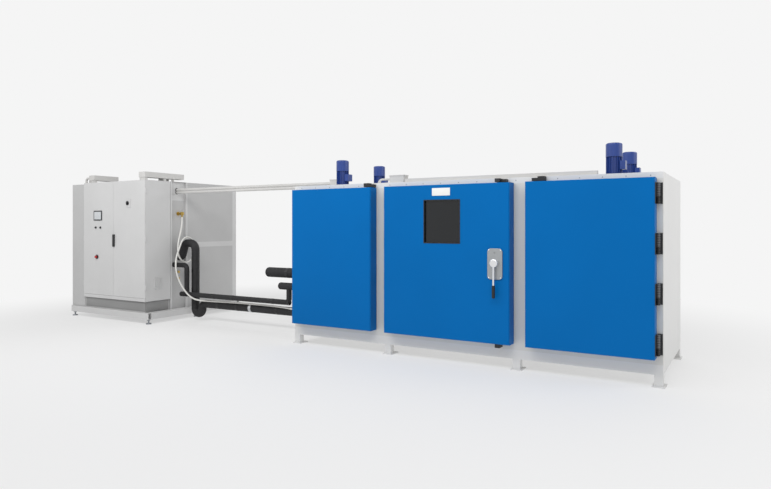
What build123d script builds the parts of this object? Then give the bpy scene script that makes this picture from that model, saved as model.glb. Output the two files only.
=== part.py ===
from build123d import *
import os
from math import cos, pi, radians, sin, tan

# Environmental test chamber with three compartments, and the machine unit that cools and controls it.
# Millimetres. X runs along the front to the right, Y to the rear, Z up.
# The origin is on the floor, at the centre of the chamber's anchor holes.

# Chamber front, left to right
left_margin = 66
left_door_w = 1191
left_post_w = 184
centre_door_w = 1530
right_post_w = 166
right_door_w = 1237
right_margin = 56

# Chamber body
chamber_d = 1570
body_z = 211
roof_z = 2039
cap_h = 63
sheet = 2
cap_sheet = 3
frame_d = 40
frame_sheet = 3
rear_wall = 120
liner_sheet = 2

# Base frame and feet
beam_h = 94
beam_w = 60
beam_wall = 4
leg_w = 80
leg_inset = 40
inner_leg_offset = 60
foot_w = 120
foot_lip = 20
foot_inward = 110
foot_t = 10
anchor_inset = 115
anchor_r = 7

# Doors
door_bottom = 280
door_top = 1982
door_stand_off = 150
door_bevel = 10
door_sheet = 2
door_lap = 45
gasket_gap = 8
gasket_w = 20
gasket_inset = 8
plug_depth = 50
plug_clear = 15
seat = 0.3

# Hinges
hinge_count = 4
hinge_low = 130
hinge_high = 147
hinge_h = 200
hinge_foot_w = 44
hinge_foot_t = 8
hinge_arm_w = 22
pin_to_door = 20
pin_off = 60
pin_r = 8
knuckle_r = 15
knuckle_split = 35
running = 0.05
hinge_gap = 1
leaf_t = 4
leaf_y = (-75, 40)

# Window in the centre door
window_x = -25
window_z = 1574
window_w = 427
window_h = 465
window_wall = 10
window_lip = 3
pane_t = 6
pane_depth = 22

# Lock of the centre door
lock_x = 600
lock_z = 1134
lock_plate_w = 167
lock_plate_h = 328
lock_plate_drop = 9
lock_plate_r = 40
lock_plate_t = 14
hub_r = 45
hub_d = 46
spindle_r = 10
spindle_l = 90
crank_r = 35
crank_t = 12
lever_r = 11
lever_l = 360
lever_y = 36
grip_r = 17
grip_l = 135
grip_wall = 6
bolt_r = 10
bolt_y = 80
bolt_out = 23
bolt_travel = 25
keeper_w = 56
keeper_h = 38
keeper_clear = 2
key_r = 9

# Door switches: place along the front, from each door's free edge
switch_w = 75
switch_d = 60
switch_h = 46
switch_inset = (113, 0, 143)
tongue_w = 62
tongue_h = 30

# Fan motors and wheels
left_fan_inset = 420
right_fan_inset = 403
front_fan_y = -465
rear_fan_y = 445
motor_foot_w = 210
motor_foot_t = 8
flange_r = 92
flange_t = 12
core_r = 66
fin_r = 80
fin_t = 4
fin_count = 20
motor_l = 175
cowl_r = 82
cowl_h = 141
cowl_wall = 4
cowl_round = 16
cowl_slot_w = 9
terminal_w = 96
terminal_d = 52
terminal_h = 88
shaft_r = 15
shaft_bore = 60
shaft_pass = 3
wheel_r = 210
wheel_eye = 130
wheel_h = 140
wheel_plate = 4
wheel_drop = 30
wheel_hub_r = 40
blade_count = 9
blade_t = 3
blade_sweep = 34
inlet_wall = 4
inlet_gap = 8

# Air paths between the compartments
air_w = 400
upper_air_h = 190
lower_air_h = 250
air_drop = 16
baffle_drop = 237
baffle_sheet = 3
flap_t = 18
flap_lap = 20
flap_shaft_r = 10
flap_pass = 3
actuator_w = 140
actuator_d = 90
actuator_h = 80

# Coil, heater and rack
coil_y = (-560, 200)
coil_z = (740, 1100)
coil_fins = 26
coil_fin_t = 3
coil_end_t = 5
heater_z = (1000, 1240)
heater_rods = 9
heater_rod_r = 8
heater_rows = 2
rack_inset = 60
rack_leg = 40
rack_h = 80
rack_slats = 12
slat_w = 44
slat_t = 5

# Roof wiring
junction_w = 200
junction_d = 120
junction_h = 88
trunk_w = 50
trunk_h = 40
trunk_inset = 28
roof_box_w = 140
roof_box_h = 120

# Machine unit
machine_gap = 2975
machine_w = 1897
machine_d = 1938
machine_top = 2238
machine_base_z = 70
machine_base_h = 100
machine_base_lip = 80
machine_tube = 60
levelling_r = 42
levelling_stem_r = 12
levelling_pad = 16
casing_w = 346
casing_drop = 21
casing_set_back = 20
cabinet_d = 480
plinth_h = 171
strip_h = 50
plinth_set_back = 26
cabinet_door_t = 20
cabinet_sheet = 2
cabinet_door_gap = 3
bay_y = (486, 829)
bay_set_back = 27
bay_post_w = 30
bay_band = (1936, 2030)
rear_post_w = 88
rail_z = (1164, 1248)

cabinet_pin_off = 6
cabinet_pin_r = 2.5
cabinet_hinge_r = 5
cabinet_hinge_h = 40
cabinet_hinge_inset = 168
cabinet_hinge_count = 3

# Things on the cabinet
hmi_x = 381
hmi_z = 1689
hmi_w = 212
hmi_h = 160
hmi_t = 9
button_xs = (325, 447)
button_z = 1493
button_r = 13
button_stem_r = 11
button_out = 9
button_stroke = 4
button_bezel_r = 19
button_bezel_t = 4
stop_x = 354
stop_z = 1011
stop_r = 20
stop_plate_r = 37
stop_plate_t = 5
stop_out = 26
stop_stroke = 5
selector_x = 1146
selector_z = 1880
selector_w = 130
selector_plate_t = 8
selector_knob_r = 30
selector_knob_h = 22
handle_z = 1285
handle_h = 200
handle_w = 40
handle_t = 22
handle_stem_r = 9
vent_y = (173, 319)
vent_z = (529, 703)
vent_t = 10
vent_slots = 7

# Cooling set inside the machine unit
compressor_in = 420
compressor_pitch = 380
compressor_behind = 320
compressor_foot = 260
compressor_foot_t = 12
compressor_r = 105
compressor_h = 470
compressor_dome = 60
condenser_left = 150
condenser_right = 350
condenser_behind = 220
condenser_d = 200
condenser_h = 900
condenser_fins = 22
receiver_in = 200
receiver_behind = 240
receiver_r = 85
receiver_h = 620
receiver_dome = 50

# Mounting plate inside the cabinet
plate_gap = 30
plate_margin = 60
gear_rows = 5
gear_devices = 9
gear_fill = 0.86
duct_w = 60
device_d = 90
device_h = 110

# Pipes
pipe_y = -98
small_pipe_y = -218
big_r = 62.5
small_r = 38
header_r = 72.5
stub_r = 51
big_wall_z = 1014
big_top_z = 1240
big_riser_out = 351
trap_z = 115
trap_w = 160
big_run_z = 278
header_l = 1091
header_z = 837
big_join_out = 485
small_wall_z = 889
small_riser_out = 286
small_run_z = 425
small_cap_l = 130
small_join_out = 578
stub_l = 755
stub_z = 657
header_core_r = 40
stub_core_r = 25
pipe_clear = 3
stub_core_bend = 40
big_neck = (40, 115)
neck_bend = 80
riser_bend = 110
small_bend = 62

# Conduits over the top
conduit_r = 21
conduit_y = -155
conduit_zs = (2066, 2110)
conduit_end_in = 140
conduit_drops = ((50, 60), (100, 120))
conduit_bends = (29, 50)
tray_w = 150
tray_h = 85
tray_stand = 44
tray_stand_pitch = 360
tray_inset = 10
right_tray_l = 765
left_tray_front = 85
left_tray_l = 450
junction_overhang = 21
lid_lip = 4
lid_t = 12
flex_r = 12
flex_bend = 42
flex_step = 36
flex_reach = 150

# Valve on the service bay
valve_y = -128
valve_z = 1721
valve_r = 20
valve_l = 96
valve_body_r = 27
valve_stem_r = 7
valve_stem_h = 26
valve_lever_l = 84
valve_lever_w = 22
valve_lever_t = 6
spigot_r = 10
spigot_l = 30
port_r = 18
port_l = 24
port_zs = (659, 766)

# Hose
hose_r = 12.5
hose_loop_r = 205
hose_loop_out = 148
hose_loop_z = 1133
hose_loop_yaw = 12.8
hose_loop_pitch = 44
gland_l = 30

# Values that follow from the ones above
chamber_w = (left_margin + left_door_w + left_post_w + centre_door_w + right_post_w
             + right_door_w + right_margin)
x_left = -chamber_w / 2
x_right = chamber_w / 2
y_front = -chamber_d / 2
y_rear = chamber_d / 2
zone_front = y_front + frame_d
zone_rear = y_rear - rear_wall
cap_z = roof_z - cap_h
floor_top = body_z + sheet
beam_z = body_z - beam_h

left_span = (x_left + left_margin, x_left + left_margin + left_door_w)
centre_span = (left_span[1] + left_post_w, left_span[1] + left_post_w + centre_door_w)
right_span = (centre_span[1] + right_post_w, centre_span[1] + right_post_w + right_door_w)
door_spans = {"left": left_span, "centre": centre_span, "right": right_span}
zone_spans = {name: (span[0] + door_lap, span[1] - door_lap) for name, span in door_spans.items()}
zone_z = (door_bottom + door_lap, door_top - door_lap)

door_front = y_front - door_stand_off
door_back = y_front - gasket_gap
pan_back = door_back - door_sheet
pin_y = y_front - pin_off

machine_right = x_left - machine_gap
machine_left = machine_right - machine_w
cabinet_left = machine_left + casing_w
cabinet_z = machine_base_z + machine_base_h + plinth_h + strip_h
base_top = machine_base_z + machine_base_h
machine_rear = y_front + machine_d
cabinet_rear = y_front + cabinet_d
bay_face = machine_right - bay_set_back
bay_front = y_front + bay_y[0]
bay_rear = y_front + bay_y[1]


def spread(low, high, count):
    """Evenly spaced places from a low one to a high one."""
    return [low + (high - low) * i / (count - 1) for i in range(count)]


hinge_zs = spread(door_bottom + hinge_low, door_top - hinge_high, hinge_count)
cabinet_hinge_zs = spread(cabinet_z + cabinet_hinge_inset, machine_top - cabinet_hinge_inset, cabinet_hinge_count)
left_fan_x = zone_spans["left"][0] + left_fan_inset
right_fan_x = zone_spans["right"][1] - right_fan_inset

# Places along the pipes between the machine unit and the chamber
big_riser_x = machine_right + big_riser_out
small_riser_x = machine_right + small_riser_out
big_join_x = x_left - big_join_out
small_join_x = x_left - small_join_out
header_x = x_left - header_l
stub_x = x_left - stub_l
conduit_end_x = x_left + conduit_end_in

os.makedirs("parts", exist_ok=True)


def write(name, *pieces):
    """Write one node: a single piece, or a group of separate solids."""
    if len(pieces) == 1:
        node = pieces[0]
    else:
        node = Compound([solid for piece in pieces for solid in piece.solids()])
    node.label = name
    export_step(node, f"parts/{name}.step")


def block(x, y, z, mode=Mode.ADD):
    """A rectangular block between a low and a high limit along each axis."""
    with Locations(((x[0] + x[1]) / 2, (y[0] + y[1]) / 2, (z[0] + z[1]) / 2)):
        Box(x[1] - x[0], y[1] - y[0], z[1] - z[0], mode=mode)


def around(centre, width):
    """The limits of a width that is centred on a place."""
    return (centre - width / 2, centre + width / 2)


def inset(limits, margin):
    """Limits taken in by a margin at both ends."""
    return (limits[0] + margin, limits[1] - margin)


def board(x, y, z):
    """A plain board, sheet or flat bar."""
    with BuildPart() as piece:
        block(x, y, z)
    return piece.part


def square_tube(x, y, z, wall, along):
    """A rectangular tube, open at both ends along one axis."""
    with BuildPart() as tube:
        block(x, y, z)
        block(x if along == "x" else inset(x, wall), y if along == "y" else inset(y, wall),
              z if along == "z" else inset(z, wall), Mode.SUBTRACT)
    return tube.part


def round_bar(centre, radius, length, direction=(0, 0, 1)):
    """A round bar that starts at a point and runs along a direction."""
    with BuildPart() as bar:
        with BuildSketch(Plane(origin=centre, z_dir=direction)):
            Circle(radius)
        extrude(amount=length)
    return bar.part


def bent_tube(points, radii, radius):
    """A round tube or pipe along straight runs joined by tangent arcs."""
    with BuildPart() as tube:
        with BuildLine() as path:
            FilletPolyline(*points, radius=radii)
        with BuildSketch(Plane(origin=path.line @ 0, z_dir=path.line % 0)):
            Circle(radius)
        sweep()
    return tube.part


# Base frame under the chamber
side_beams = [(x_left, x_left + beam_w), (x_right - beam_w, x_right)]
left_post_x = (left_span[1] + centre_span[0]) / 2
right_post_x = (centre_span[1] + right_span[0]) / 2
leg_xs = (x_left + leg_inset, left_post_x + inner_leg_offset, right_post_x - inner_leg_offset,
          x_right - leg_inset)
leg_ys = (y_front + leg_inset, y_rear - leg_inset)
beam_limits_z = (beam_z, body_z)


def base_frame():
    """Rectangular tubes on edge, with capped ends, and a square tube for each leg."""
    pieces = []
    for y in ((y_front, y_front + beam_w), (y_rear - beam_w, y_rear)):
        pieces.append(square_tube(inset((x_left, x_right), beam_w), y, beam_limits_z, beam_wall, "x"))
    for x in side_beams:
        pieces.append(square_tube(x, inset((y_front, y_rear), beam_wall), beam_limits_z, beam_wall, "y"))
        pieces.append(board(x, (y_front, y_front + beam_wall), beam_limits_z))
        pieces.append(board(x, (y_rear - beam_wall, y_rear), beam_limits_z))
    for x in leg_xs[1:3]:
        pieces.append(square_tube(around(x, beam_w), inset((y_front, y_rear), beam_w), beam_limits_z,
                                  beam_wall, "y"))
    for x in leg_xs:
        for y in leg_ys:
            pieces.append(square_tube(around(x, leg_w), around(y, leg_w), (foot_t, beam_z), beam_wall, "z"))
    return pieces


def foot_plates():
    """A plate under each leg, drilled for one anchor on the side that faces the middle."""
    pieces = []
    for x in leg_xs:
        for y, inward in zip(leg_ys, (1, -1)):
            outer_y = y - inward * (leg_w / 2 + foot_lip)
            inner_y = y + inward * foot_inward
            with BuildPart() as plate:
                block(around(x, foot_w), sorted((outer_y, inner_y)), (0, foot_t))
                with Locations((x, outer_y + inward * (foot_lip + anchor_inset), foot_t)):
                    Hole(anchor_r)
            pieces.append(plate.part)
    return pieces


write("base_frame", *base_frame())
write("foot_plates", *foot_plates())


# Casing, front frame and insulation
fan_places = [(x, y) for x in (left_fan_x, right_fan_x) for y in (front_fan_y, rear_fan_y)]
flap_pivots = {"left": zone_spans["left"][1] - flap_t * 2 / 3, "right": zone_spans["right"][0] + flap_t * 2 / 3}
flap_pivot_y = air_w / 2 + flap_lap + flap_shaft_r + flap_pass
shaft_hole_r = shaft_r + shaft_pass
flap_hole_r = flap_shaft_r + flap_pass
wall_passes = [(pipe_y, header_z, header_core_r), (small_pipe_y, stub_z, stub_core_r)]


def drill_down(places, radius, top, depth):
    """Round holes down through what is being built."""
    for x, y in places:
        with Locations((x, y, top - depth / 2)):
            Cylinder(radius, depth, mode=Mode.SUBTRACT)


def drill_wall_passes(x):
    """The holes that the refrigerant pipes go through in the left wall."""
    for y, z, radius in wall_passes:
        with Locations(((x[0] + x[1]) / 2, y, z)):
            Cylinder(radius, x[1] - x[0], rotation=(0, 90, 0), mode=Mode.SUBTRACT)


def casing_panels():
    """Left, right, rear and bottom sheets of the outer casing."""
    panel_z = (floor_top, cap_z)
    pieces = []
    with BuildPart() as left:
        block((x_left, x_left + sheet), (zone_front, y_rear), panel_z)
        drill_wall_passes((x_left, x_left + sheet))
    pieces.append(left.part)
    pieces.append(board((x_right - sheet, x_right), (zone_front, y_rear), panel_z))
    pieces.append(board(inset((x_left, x_right), sheet), (y_rear - sheet, y_rear), panel_z))
    with BuildPart() as bottom:
        block((x_left, x_right), (y_front, y_rear), (body_z, floor_top))
        drill_down([(x, flap_pivot_y) for x in flap_pivots.values()], flap_hole_r, floor_top, sheet)
    pieces.append(bottom.part)
    return pieces


with BuildPart() as roof_cap:
    block((x_left, x_right), (y_front, y_rear), (cap_z, roof_z))
    offset(amount=-cap_sheet, openings=roof_cap.faces().sort_by(Axis.Z)[0])
    drill_down(fan_places, shaft_hole_r, roof_z, cap_sheet)
write("casing_panels", *casing_panels())
write("roof_cap", roof_cap.part)


def channel(x, z, upright):
    """A folded channel of the front frame, open to the rear."""
    y = (y_front, zone_front)
    inner_y = (y_front + frame_sheet, zone_front)
    with BuildPart() as folded:
        block(x, y, z)
        if upright:
            block(inset(x, frame_sheet), inner_y, z, Mode.SUBTRACT)
        else:
            block(x, inner_y, inset(z, frame_sheet), Mode.SUBTRACT)
    return folded.part


def front_frame():
    """Four posts, with a header and a sill between each pair."""
    zones = [zone_spans[name] for name in ("left", "centre", "right")]
    post_edges = [x_left] + [edge for zone in zones for edge in zone] + [x_right]
    pieces = [channel((post_edges[i], post_edges[i + 1]), (floor_top, cap_z), True)
              for i in range(0, len(post_edges), 2)]
    for zone in zones:
        pieces.append(channel(zone, (zone_z[1], cap_z), False))
        pieces.append(channel(zone, (floor_top, zone_z[0]), False))
    return pieces


write("front_frame", *front_frame())

liner_z = (zone_z[0] - liner_sheet, zone_z[1] + liner_sheet)
liner_rear = zone_rear + liner_sheet
upper_air_z = (zone_z[1] - air_drop - upper_air_h, zone_z[1] - air_drop)
lower_air_z = (zone_z[0] + 2 * air_drop, zone_z[0] + 2 * air_drop + lower_air_h)
air_y = around(0, air_w)
wall_xs = {
    "left": (x_left + sheet, zone_spans["left"][0] - liner_sheet),
    "cold": (zone_spans["left"][1] + liner_sheet, zone_spans["centre"][0] - liner_sheet),
    "hot": (zone_spans["centre"][1] + liner_sheet, zone_spans["right"][0] - liner_sheet),
    "right": (zone_spans["right"][1] + liner_sheet, x_right - sheet),
}


def insulation():
    """Boards of the walls, floor and roof, cut and fitted round the air paths."""
    inner_x = inset((x_left, x_right), sheet)
    inner_y = (zone_front, y_rear - sheet)
    with BuildPart() as floor:
        block(inner_x, inner_y, (floor_top, liner_z[0]))
        drill_down([(x, flap_pivot_y) for x in flap_pivots.values()], flap_hole_r, liner_z[0],
                   liner_z[0] - floor_top)
    with BuildPart() as roof:
        block(inset((x_left, x_right), cap_sheet), (zone_front, y_rear - cap_sheet),
              (liner_z[1], roof_z - cap_sheet))
        drill_down(fan_places, shaft_hole_r, roof_z, roof_z - liner_z[1])
    with BuildPart() as left:
        block(wall_xs["left"], (zone_front, liner_rear), liner_z)
        drill_wall_passes(wall_xs["left"])
    pieces = [floor.part, roof.part, left.part]
    pieces.append(board(wall_xs["right"], (zone_front, liner_rear), liner_z))
    pieces.append(board(inner_x, (liner_rear, y_rear - sheet), liner_z))
    for name in ("cold", "hot"):
        x = wall_xs[name]
        pieces.append(board(x, (zone_front, air_y[0]), liner_z))
        pieces.append(board(x, (air_y[1], liner_rear), liner_z))
        pieces.append(board(x, air_y, (liner_z[0], lower_air_z[0])))
        pieces.append(board(x, air_y, (lower_air_z[1], upper_air_z[0])))
        pieces.append(board(x, air_y, (upper_air_z[1], liner_z[1])))
    return pieces


write("insulation", *insulation())


def liner(name):
    """A stainless box, open to the front, with its air paths and shaft holes."""
    span = zone_spans[name]
    outer_x = (span[0] - liner_sheet, span[1] + liner_sheet)
    with BuildPart() as box:
        block(outer_x, (zone_front, liner_rear), liner_z)
        offset(amount=-liner_sheet, openings=box.faces().sort_by(Axis.Y)[0])
        for air_z in (lower_air_z, upper_air_z):
            if name != "left":
                block((outer_x[0], span[0]), air_y, air_z, Mode.SUBTRACT)
            if name != "right":
                block((span[1], outer_x[1]), air_y, air_z, Mode.SUBTRACT)
        if name in flap_pivots:
            places = [place for place in fan_places if span[0] < place[0] < span[1]]
            drill_down(places, shaft_hole_r, liner_z[1], liner_sheet)
            drill_down([(flap_pivots[name], flap_pivot_y)], flap_hole_r, zone_z[0], liner_sheet)
        if name == "left":
            drill_wall_passes((outer_x[0], span[0]))
    return box.part


def zone_liners():
    """The three liners, and the sleeves that join them through the partitions."""
    pieces = [liner(name) for name in ("left", "centre", "right")]
    for near, far in (("left", "centre"), ("centre", "right")):
        x = (zone_spans[near][1], zone_spans[far][0])
        for air_z in (lower_air_z, upper_air_z):
            pieces.append(square_tube(x, air_y, air_z, liner_sheet, "x"))
    return pieces


write("zone_liners", *zone_liners())


# Air handling inside the side compartments
wheel_top = zone_z[1] - wheel_drop
wheel_bottom = wheel_top - wheel_h
baffle_z = (zone_z[1] - baffle_drop, zone_z[1] - baffle_drop + baffle_sheet)


def air_baffle(name):
    """The ceiling plate with a flared inlet under each fan wheel."""
    span = inset(zone_spans[name], seat)
    places = [place for place in fan_places if span[0] < place[0] < span[1]]
    with BuildPart() as baffle:
        block(span, (zone_front + 2 * air_drop, zone_rear - seat), baffle_z)
        for x, y in places:
            with BuildSketch(Plane(origin=(x, y, baffle_z[1]))):
                Circle(wheel_eye)
            extrude(amount=wheel_bottom - inlet_gap - baffle_z[1])
            with BuildSketch(Plane(origin=(x, y, baffle_z[0]))):
                Circle(wheel_eye - inlet_wall)
            extrude(amount=wheel_bottom - baffle_z[0], mode=Mode.SUBTRACT)
        drill_down([(flap_pivots[name], flap_pivot_y)], flap_shaft_r + running, baffle_z[1], baffle_sheet)
    return baffle.part


def evaporator_coil():
    """Fins on a centre plate between two end plates, held by the compartment's walls."""
    span = inset(zone_spans["left"], seat)
    width = span[1] - span[0]
    with BuildPart() as coil:
        with BuildSketch(Plane(origin=((span[0] + span[1]) / 2, sum(coil_y) / 2, coil_z[0]))):
            Rectangle(width, coil_end_t)
            with GridLocations(width / coil_fins, 1, coil_fins - 1, 1):
                Rectangle(coil_fin_t, coil_y[1] - coil_y[0])
            with GridLocations(width - coil_end_t, 1, 2, 1):
                Rectangle(coil_end_t, coil_y[1] - coil_y[0])
        extrude(amount=coil_z[1] - coil_z[0])
    return coil.part


def heater_bank():
    """Two rows of heating rods between end plates, held by the compartment's walls."""
    span = inset(zone_spans["right"], seat)
    row_gap = (heater_z[1] - heater_z[0]) / heater_rows
    rod_gap = (coil_y[1] - coil_y[0]) / heater_rods
    with BuildPart() as bank:
        with BuildSketch(Plane(origin=(span[0], sum(coil_y) / 2, sum(heater_z) / 2), x_dir=(0, 1, 0),
                               z_dir=(1, 0, 0))):
            with GridLocations(rod_gap, row_gap, heater_rods, heater_rows):
                Circle(heater_rod_r)
        extrude(amount=span[1] - span[0])
        for x in ((span[0], span[0] + coil_end_t), (span[1] - coil_end_t, span[1])):
            block(x, coil_y, heater_z)
    return bank.part


def specimen_rack():
    """Legs, two rails and loose slats on the floor of the centre compartment."""
    x = inset(zone_spans["centre"], rack_inset)
    y = (zone_front + rack_inset, zone_rear - rack_inset)
    leg_top = zone_z[0] + rack_h - rack_leg
    rail_z = (leg_top, leg_top + rack_leg)
    pieces = []
    for rail_x in ((x[0], x[0] + rack_leg), (x[1] - rack_leg, x[1])):
        for leg_y in ((y[0], y[0] + rack_leg), (y[1] - rack_leg, y[1])):
            pieces.append(square_tube(rail_x, leg_y, (zone_z[0], leg_top), liner_sheet, "z"))
        pieces.append(square_tube(rail_x, y, rail_z, liner_sheet, "y"))
    pitch = (y[1] - y[0] - slat_w) / (rack_slats - 1)
    for i in range(rack_slats):
        slat_y = y[0] + i * pitch
        pieces.append(board(x, (slat_y, slat_y + slat_w), (rail_z[1], rail_z[1] + slat_t)))
    return pieces


write("air_baffles", air_baffle("left"), air_baffle("right"))
write("evaporator_coil", evaporator_coil())
write("heater_bank", heater_bank())
write("specimen_rack", *specimen_rack())


def damper(name):
    """An upright shaft with an upper and a lower flap, closed against the partition."""
    face = zone_spans[name][1] if name == "left" else zone_spans[name][0]
    away = -1 if name == "left" else 1
    flap_x = sorted((face + away * seat, face + away * (seat + flap_t)))
    shaft_z = body_z - actuator_h / 2
    with BuildPart() as flaps:
        with BuildSketch(Plane(origin=(flap_pivots[name], flap_pivot_y, shaft_z))):
            Circle(flap_shaft_r)
        extrude(amount=upper_air_z[1] - shaft_z)
        for air_z in (lower_air_z, upper_air_z):
            flap_z = (air_z[0] - flap_lap, min(air_z[1] + flap_lap, zone_z[1] - liner_sheet))
            block(flap_x, (-air_w / 2 - flap_lap, flap_pivot_y), flap_z)
    return flaps.part


def damper_actuator(name):
    """The geared drive under the floor that turns a damper shaft."""
    with BuildPart() as drive:
        block(around(flap_pivots[name], actuator_w), around(flap_pivot_y, actuator_d),
              (body_z - actuator_h, body_z))
        fillet(drive.edges().filter_by(Axis.Z), flap_shaft_r)
        drill_down([(flap_pivots[name], flap_pivot_y)], flap_shaft_r + running, body_z,
                   actuator_h / 2 + seat)
    return drive.part


write("damper_cold", damper("left"))
write("damper_hot", damper("right"))
write("damper_actuators", damper_actuator("left"), damper_actuator("right"))


# Fans on the roof
motor_z = roof_z + motor_foot_t + flange_t
cowl_z = motor_z + motor_l


def motor(x, y):
    """Foot plate, flange, finned housing and terminal box, bored for the fan shaft."""
    with BuildPart() as housing:
        with BuildSketch(Plane(origin=(x, y, roof_z))):
            RectangleRounded(motor_foot_w, motor_foot_w, flange_t)
        extrude(amount=motor_foot_t)
        with BuildSketch(Plane(origin=(x, y, roof_z + motor_foot_t))):
            Circle(flange_r)
        extrude(amount=flange_t)
        with BuildSketch(Plane(origin=(x, y, motor_z))):
            Circle(core_r)
            with PolarLocations(fin_r / 2, fin_count):
                Rectangle(fin_r, fin_t)
        extrude(amount=motor_l)
        block((x + core_r, x + core_r + terminal_d), around(y, terminal_w),
              around(motor_z + motor_l / 2, terminal_h))
        with Locations((x, y, roof_z + shaft_bore / 2)):
            Cylinder(shaft_r + running, shaft_bore, mode=Mode.SUBTRACT)
    return housing.part


def motor_cowl(x, y):
    """The round fan cover on top of a motor, with a ring of slots in its crown."""
    with BuildPart() as cowl:
        with BuildSketch(Plane(origin=(x, y, cowl_z))):
            Circle(cowl_r)
        extrude(amount=cowl_h)
        fillet(cowl.faces().sort_by(Axis.Z)[-1].edges(), cowl_round)
        offset(amount=-cowl_wall, openings=cowl.faces().sort_by(Axis.Z)[0])
        with BuildSketch(Plane(origin=(x, y, cowl_z + cowl_h))):
            with PolarLocations(cowl_r / 2, 8):
                Rectangle(cowl_r / 2, cowl_slot_w)
        extrude(amount=-2 * cowl_wall, mode=Mode.SUBTRACT)
    return cowl.part


def fan_rotor(x, y):
    """Shaft and centrifugal wheel: back plate, hub, curved blades and eye ring."""
    with BuildSketch() as blade:
        with BuildLine():
            ThreePointArc((wheel_eye, 0), ((wheel_eye + wheel_r) / 2, blade_sweep / 3),
                          (wheel_r * cos(radians(blade_sweep)) * 0.98, wheel_r * sin(radians(blade_sweep)) * 0.98))
        trace(line_width=blade_t)
    with BuildPart() as rotor:
        with BuildSketch(Plane(origin=(x, y, wheel_bottom))):
            Circle(wheel_r)
            Circle(wheel_eye, mode=Mode.SUBTRACT)
        extrude(amount=wheel_plate)
        with BuildSketch(Plane(origin=(x, y, wheel_bottom + wheel_plate))):
            with PolarLocations(0, blade_count):
                add(blade.sketch)
        extrude(amount=wheel_h - 2 * wheel_plate)
        with BuildSketch(Plane(origin=(x, y, wheel_top - wheel_plate))):
            Circle(wheel_r)
        extrude(amount=wheel_plate)
        with BuildSketch(Plane(origin=(x, y, wheel_top - wheel_hub_r))):
            Circle(wheel_hub_r)
        extrude(amount=wheel_hub_r)
        with BuildSketch(Plane(origin=(x, y, wheel_top))):
            Circle(shaft_r)
        extrude(amount=roof_z + shaft_bore - seat - wheel_top)
    return rotor.part


write("fan_motors", *[motor(x, y) for x, y in fan_places])
write("motor_cowls", *[motor_cowl(x, y) for x, y in fan_places])
for rotor_name, place in zip(("left_front", "left_rear", "right_front", "right_rear"), fan_places):
    write(f"fan_rotor_{rotor_name}", fan_rotor(*place))


# Doors
def frame_hinge(pin_x, outward, z):
    """Frame half of a hinge: foot on the post, arm, lower knuckle and pin."""
    low = z - hinge_h / 2
    with BuildPart() as half:
        foot_x = sorted((pin_x - outward * hinge_arm_w / 2, pin_x + outward * (hinge_foot_w - hinge_arm_w / 2)))
        block(foot_x, (y_front - hinge_foot_t, y_front), around(z, hinge_h))
        block(around(pin_x, hinge_arm_w), (pin_y, y_front - hinge_foot_t), (low, z - knuckle_split))
        with BuildSketch(Plane(origin=(pin_x, pin_y, low))):
            Circle(knuckle_r)
        extrude(amount=hinge_h / 2 - knuckle_split)
        with BuildSketch(Plane(origin=(pin_x, pin_y, z - knuckle_split))):
            Circle(pin_r)
        extrude(amount=knuckle_split + hinge_h / 2 - knuckle_r)
    return half.part


def door_hinge(pin_x, edge_x, z):
    """Door half of a hinge: leaf on the door's side, hook and upper knuckle."""
    low = z - knuckle_split + hinge_gap
    high = z + hinge_h / 2
    toward_pin = 1 if pin_x > edge_x else -1
    with BuildPart() as half:
        block(sorted((edge_x, edge_x + toward_pin * leaf_t)), (pin_y + leaf_y[0], pin_y + leaf_y[1]),
              (z - hinge_h / 2, high))
        block(sorted((edge_x, pin_x)), around(pin_y, 2 * knuckle_r), (low, high))
        with BuildSketch(Plane(origin=(pin_x, pin_y, low))):
            Circle(knuckle_r)
        extrude(amount=high - low)
        with BuildSketch(Plane(origin=(pin_x, pin_y, low))):
            Circle(pin_r + running)
        extrude(amount=high - low - knuckle_r + hinge_gap, mode=Mode.SUBTRACT)
    return half.part


def door_pan(span):
    """The painted outer pan, bevelled round its front and open to the rear."""
    with BuildPart() as pan:
        block(span, (door_front, pan_back), (door_bottom, door_top))
        chamfer(pan.faces().sort_by(Axis.Y)[0].edges(), door_bevel)
        offset(amount=-door_sheet, openings=pan.faces().sort_by(Axis.Y)[-1])
    return pan.part


def door_liner(span):
    """The stainless back of a door, with the plug that enters the compartment."""
    plug_x = inset(span, door_lap + plug_clear)
    plug_z = inset(zone_z, plug_clear)
    plug_y = door_back + plug_depth
    with BuildPart() as back:
        block(span, (pan_back, door_back), (door_bottom, door_top))
        block(plug_x, (door_back, plug_y), plug_z)
        block(inset(plug_x, door_sheet), (pan_back, plug_y - door_sheet), inset(plug_z, door_sheet),
              Mode.SUBTRACT)
    return back.part


def door_gasket(span):
    """The rubber ring round the back of a door."""
    outer_x = inset(span, gasket_inset)
    outer_z = inset((door_bottom, door_top), gasket_inset)
    y = (door_back, y_front - seat)
    with BuildPart() as ring:
        block(outer_x, y, outer_z)
        block(inset(outer_x, gasket_w), y, inset(outer_z, gasket_w), Mode.SUBTRACT)
    return ring.part


window_hole_x = around(window_x, window_w + 2 * window_wall)
window_hole_z = around(window_z, window_h + 2 * window_wall)
bolt_axis_y = door_front + bolt_y


def cut_window(pan, y):
    """The same piece with the window's hole through it."""
    with BuildPart() as cut:
        add(pan)
        block(window_hole_x, y, window_hole_z, Mode.SUBTRACT)
    return cut.part


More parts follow.
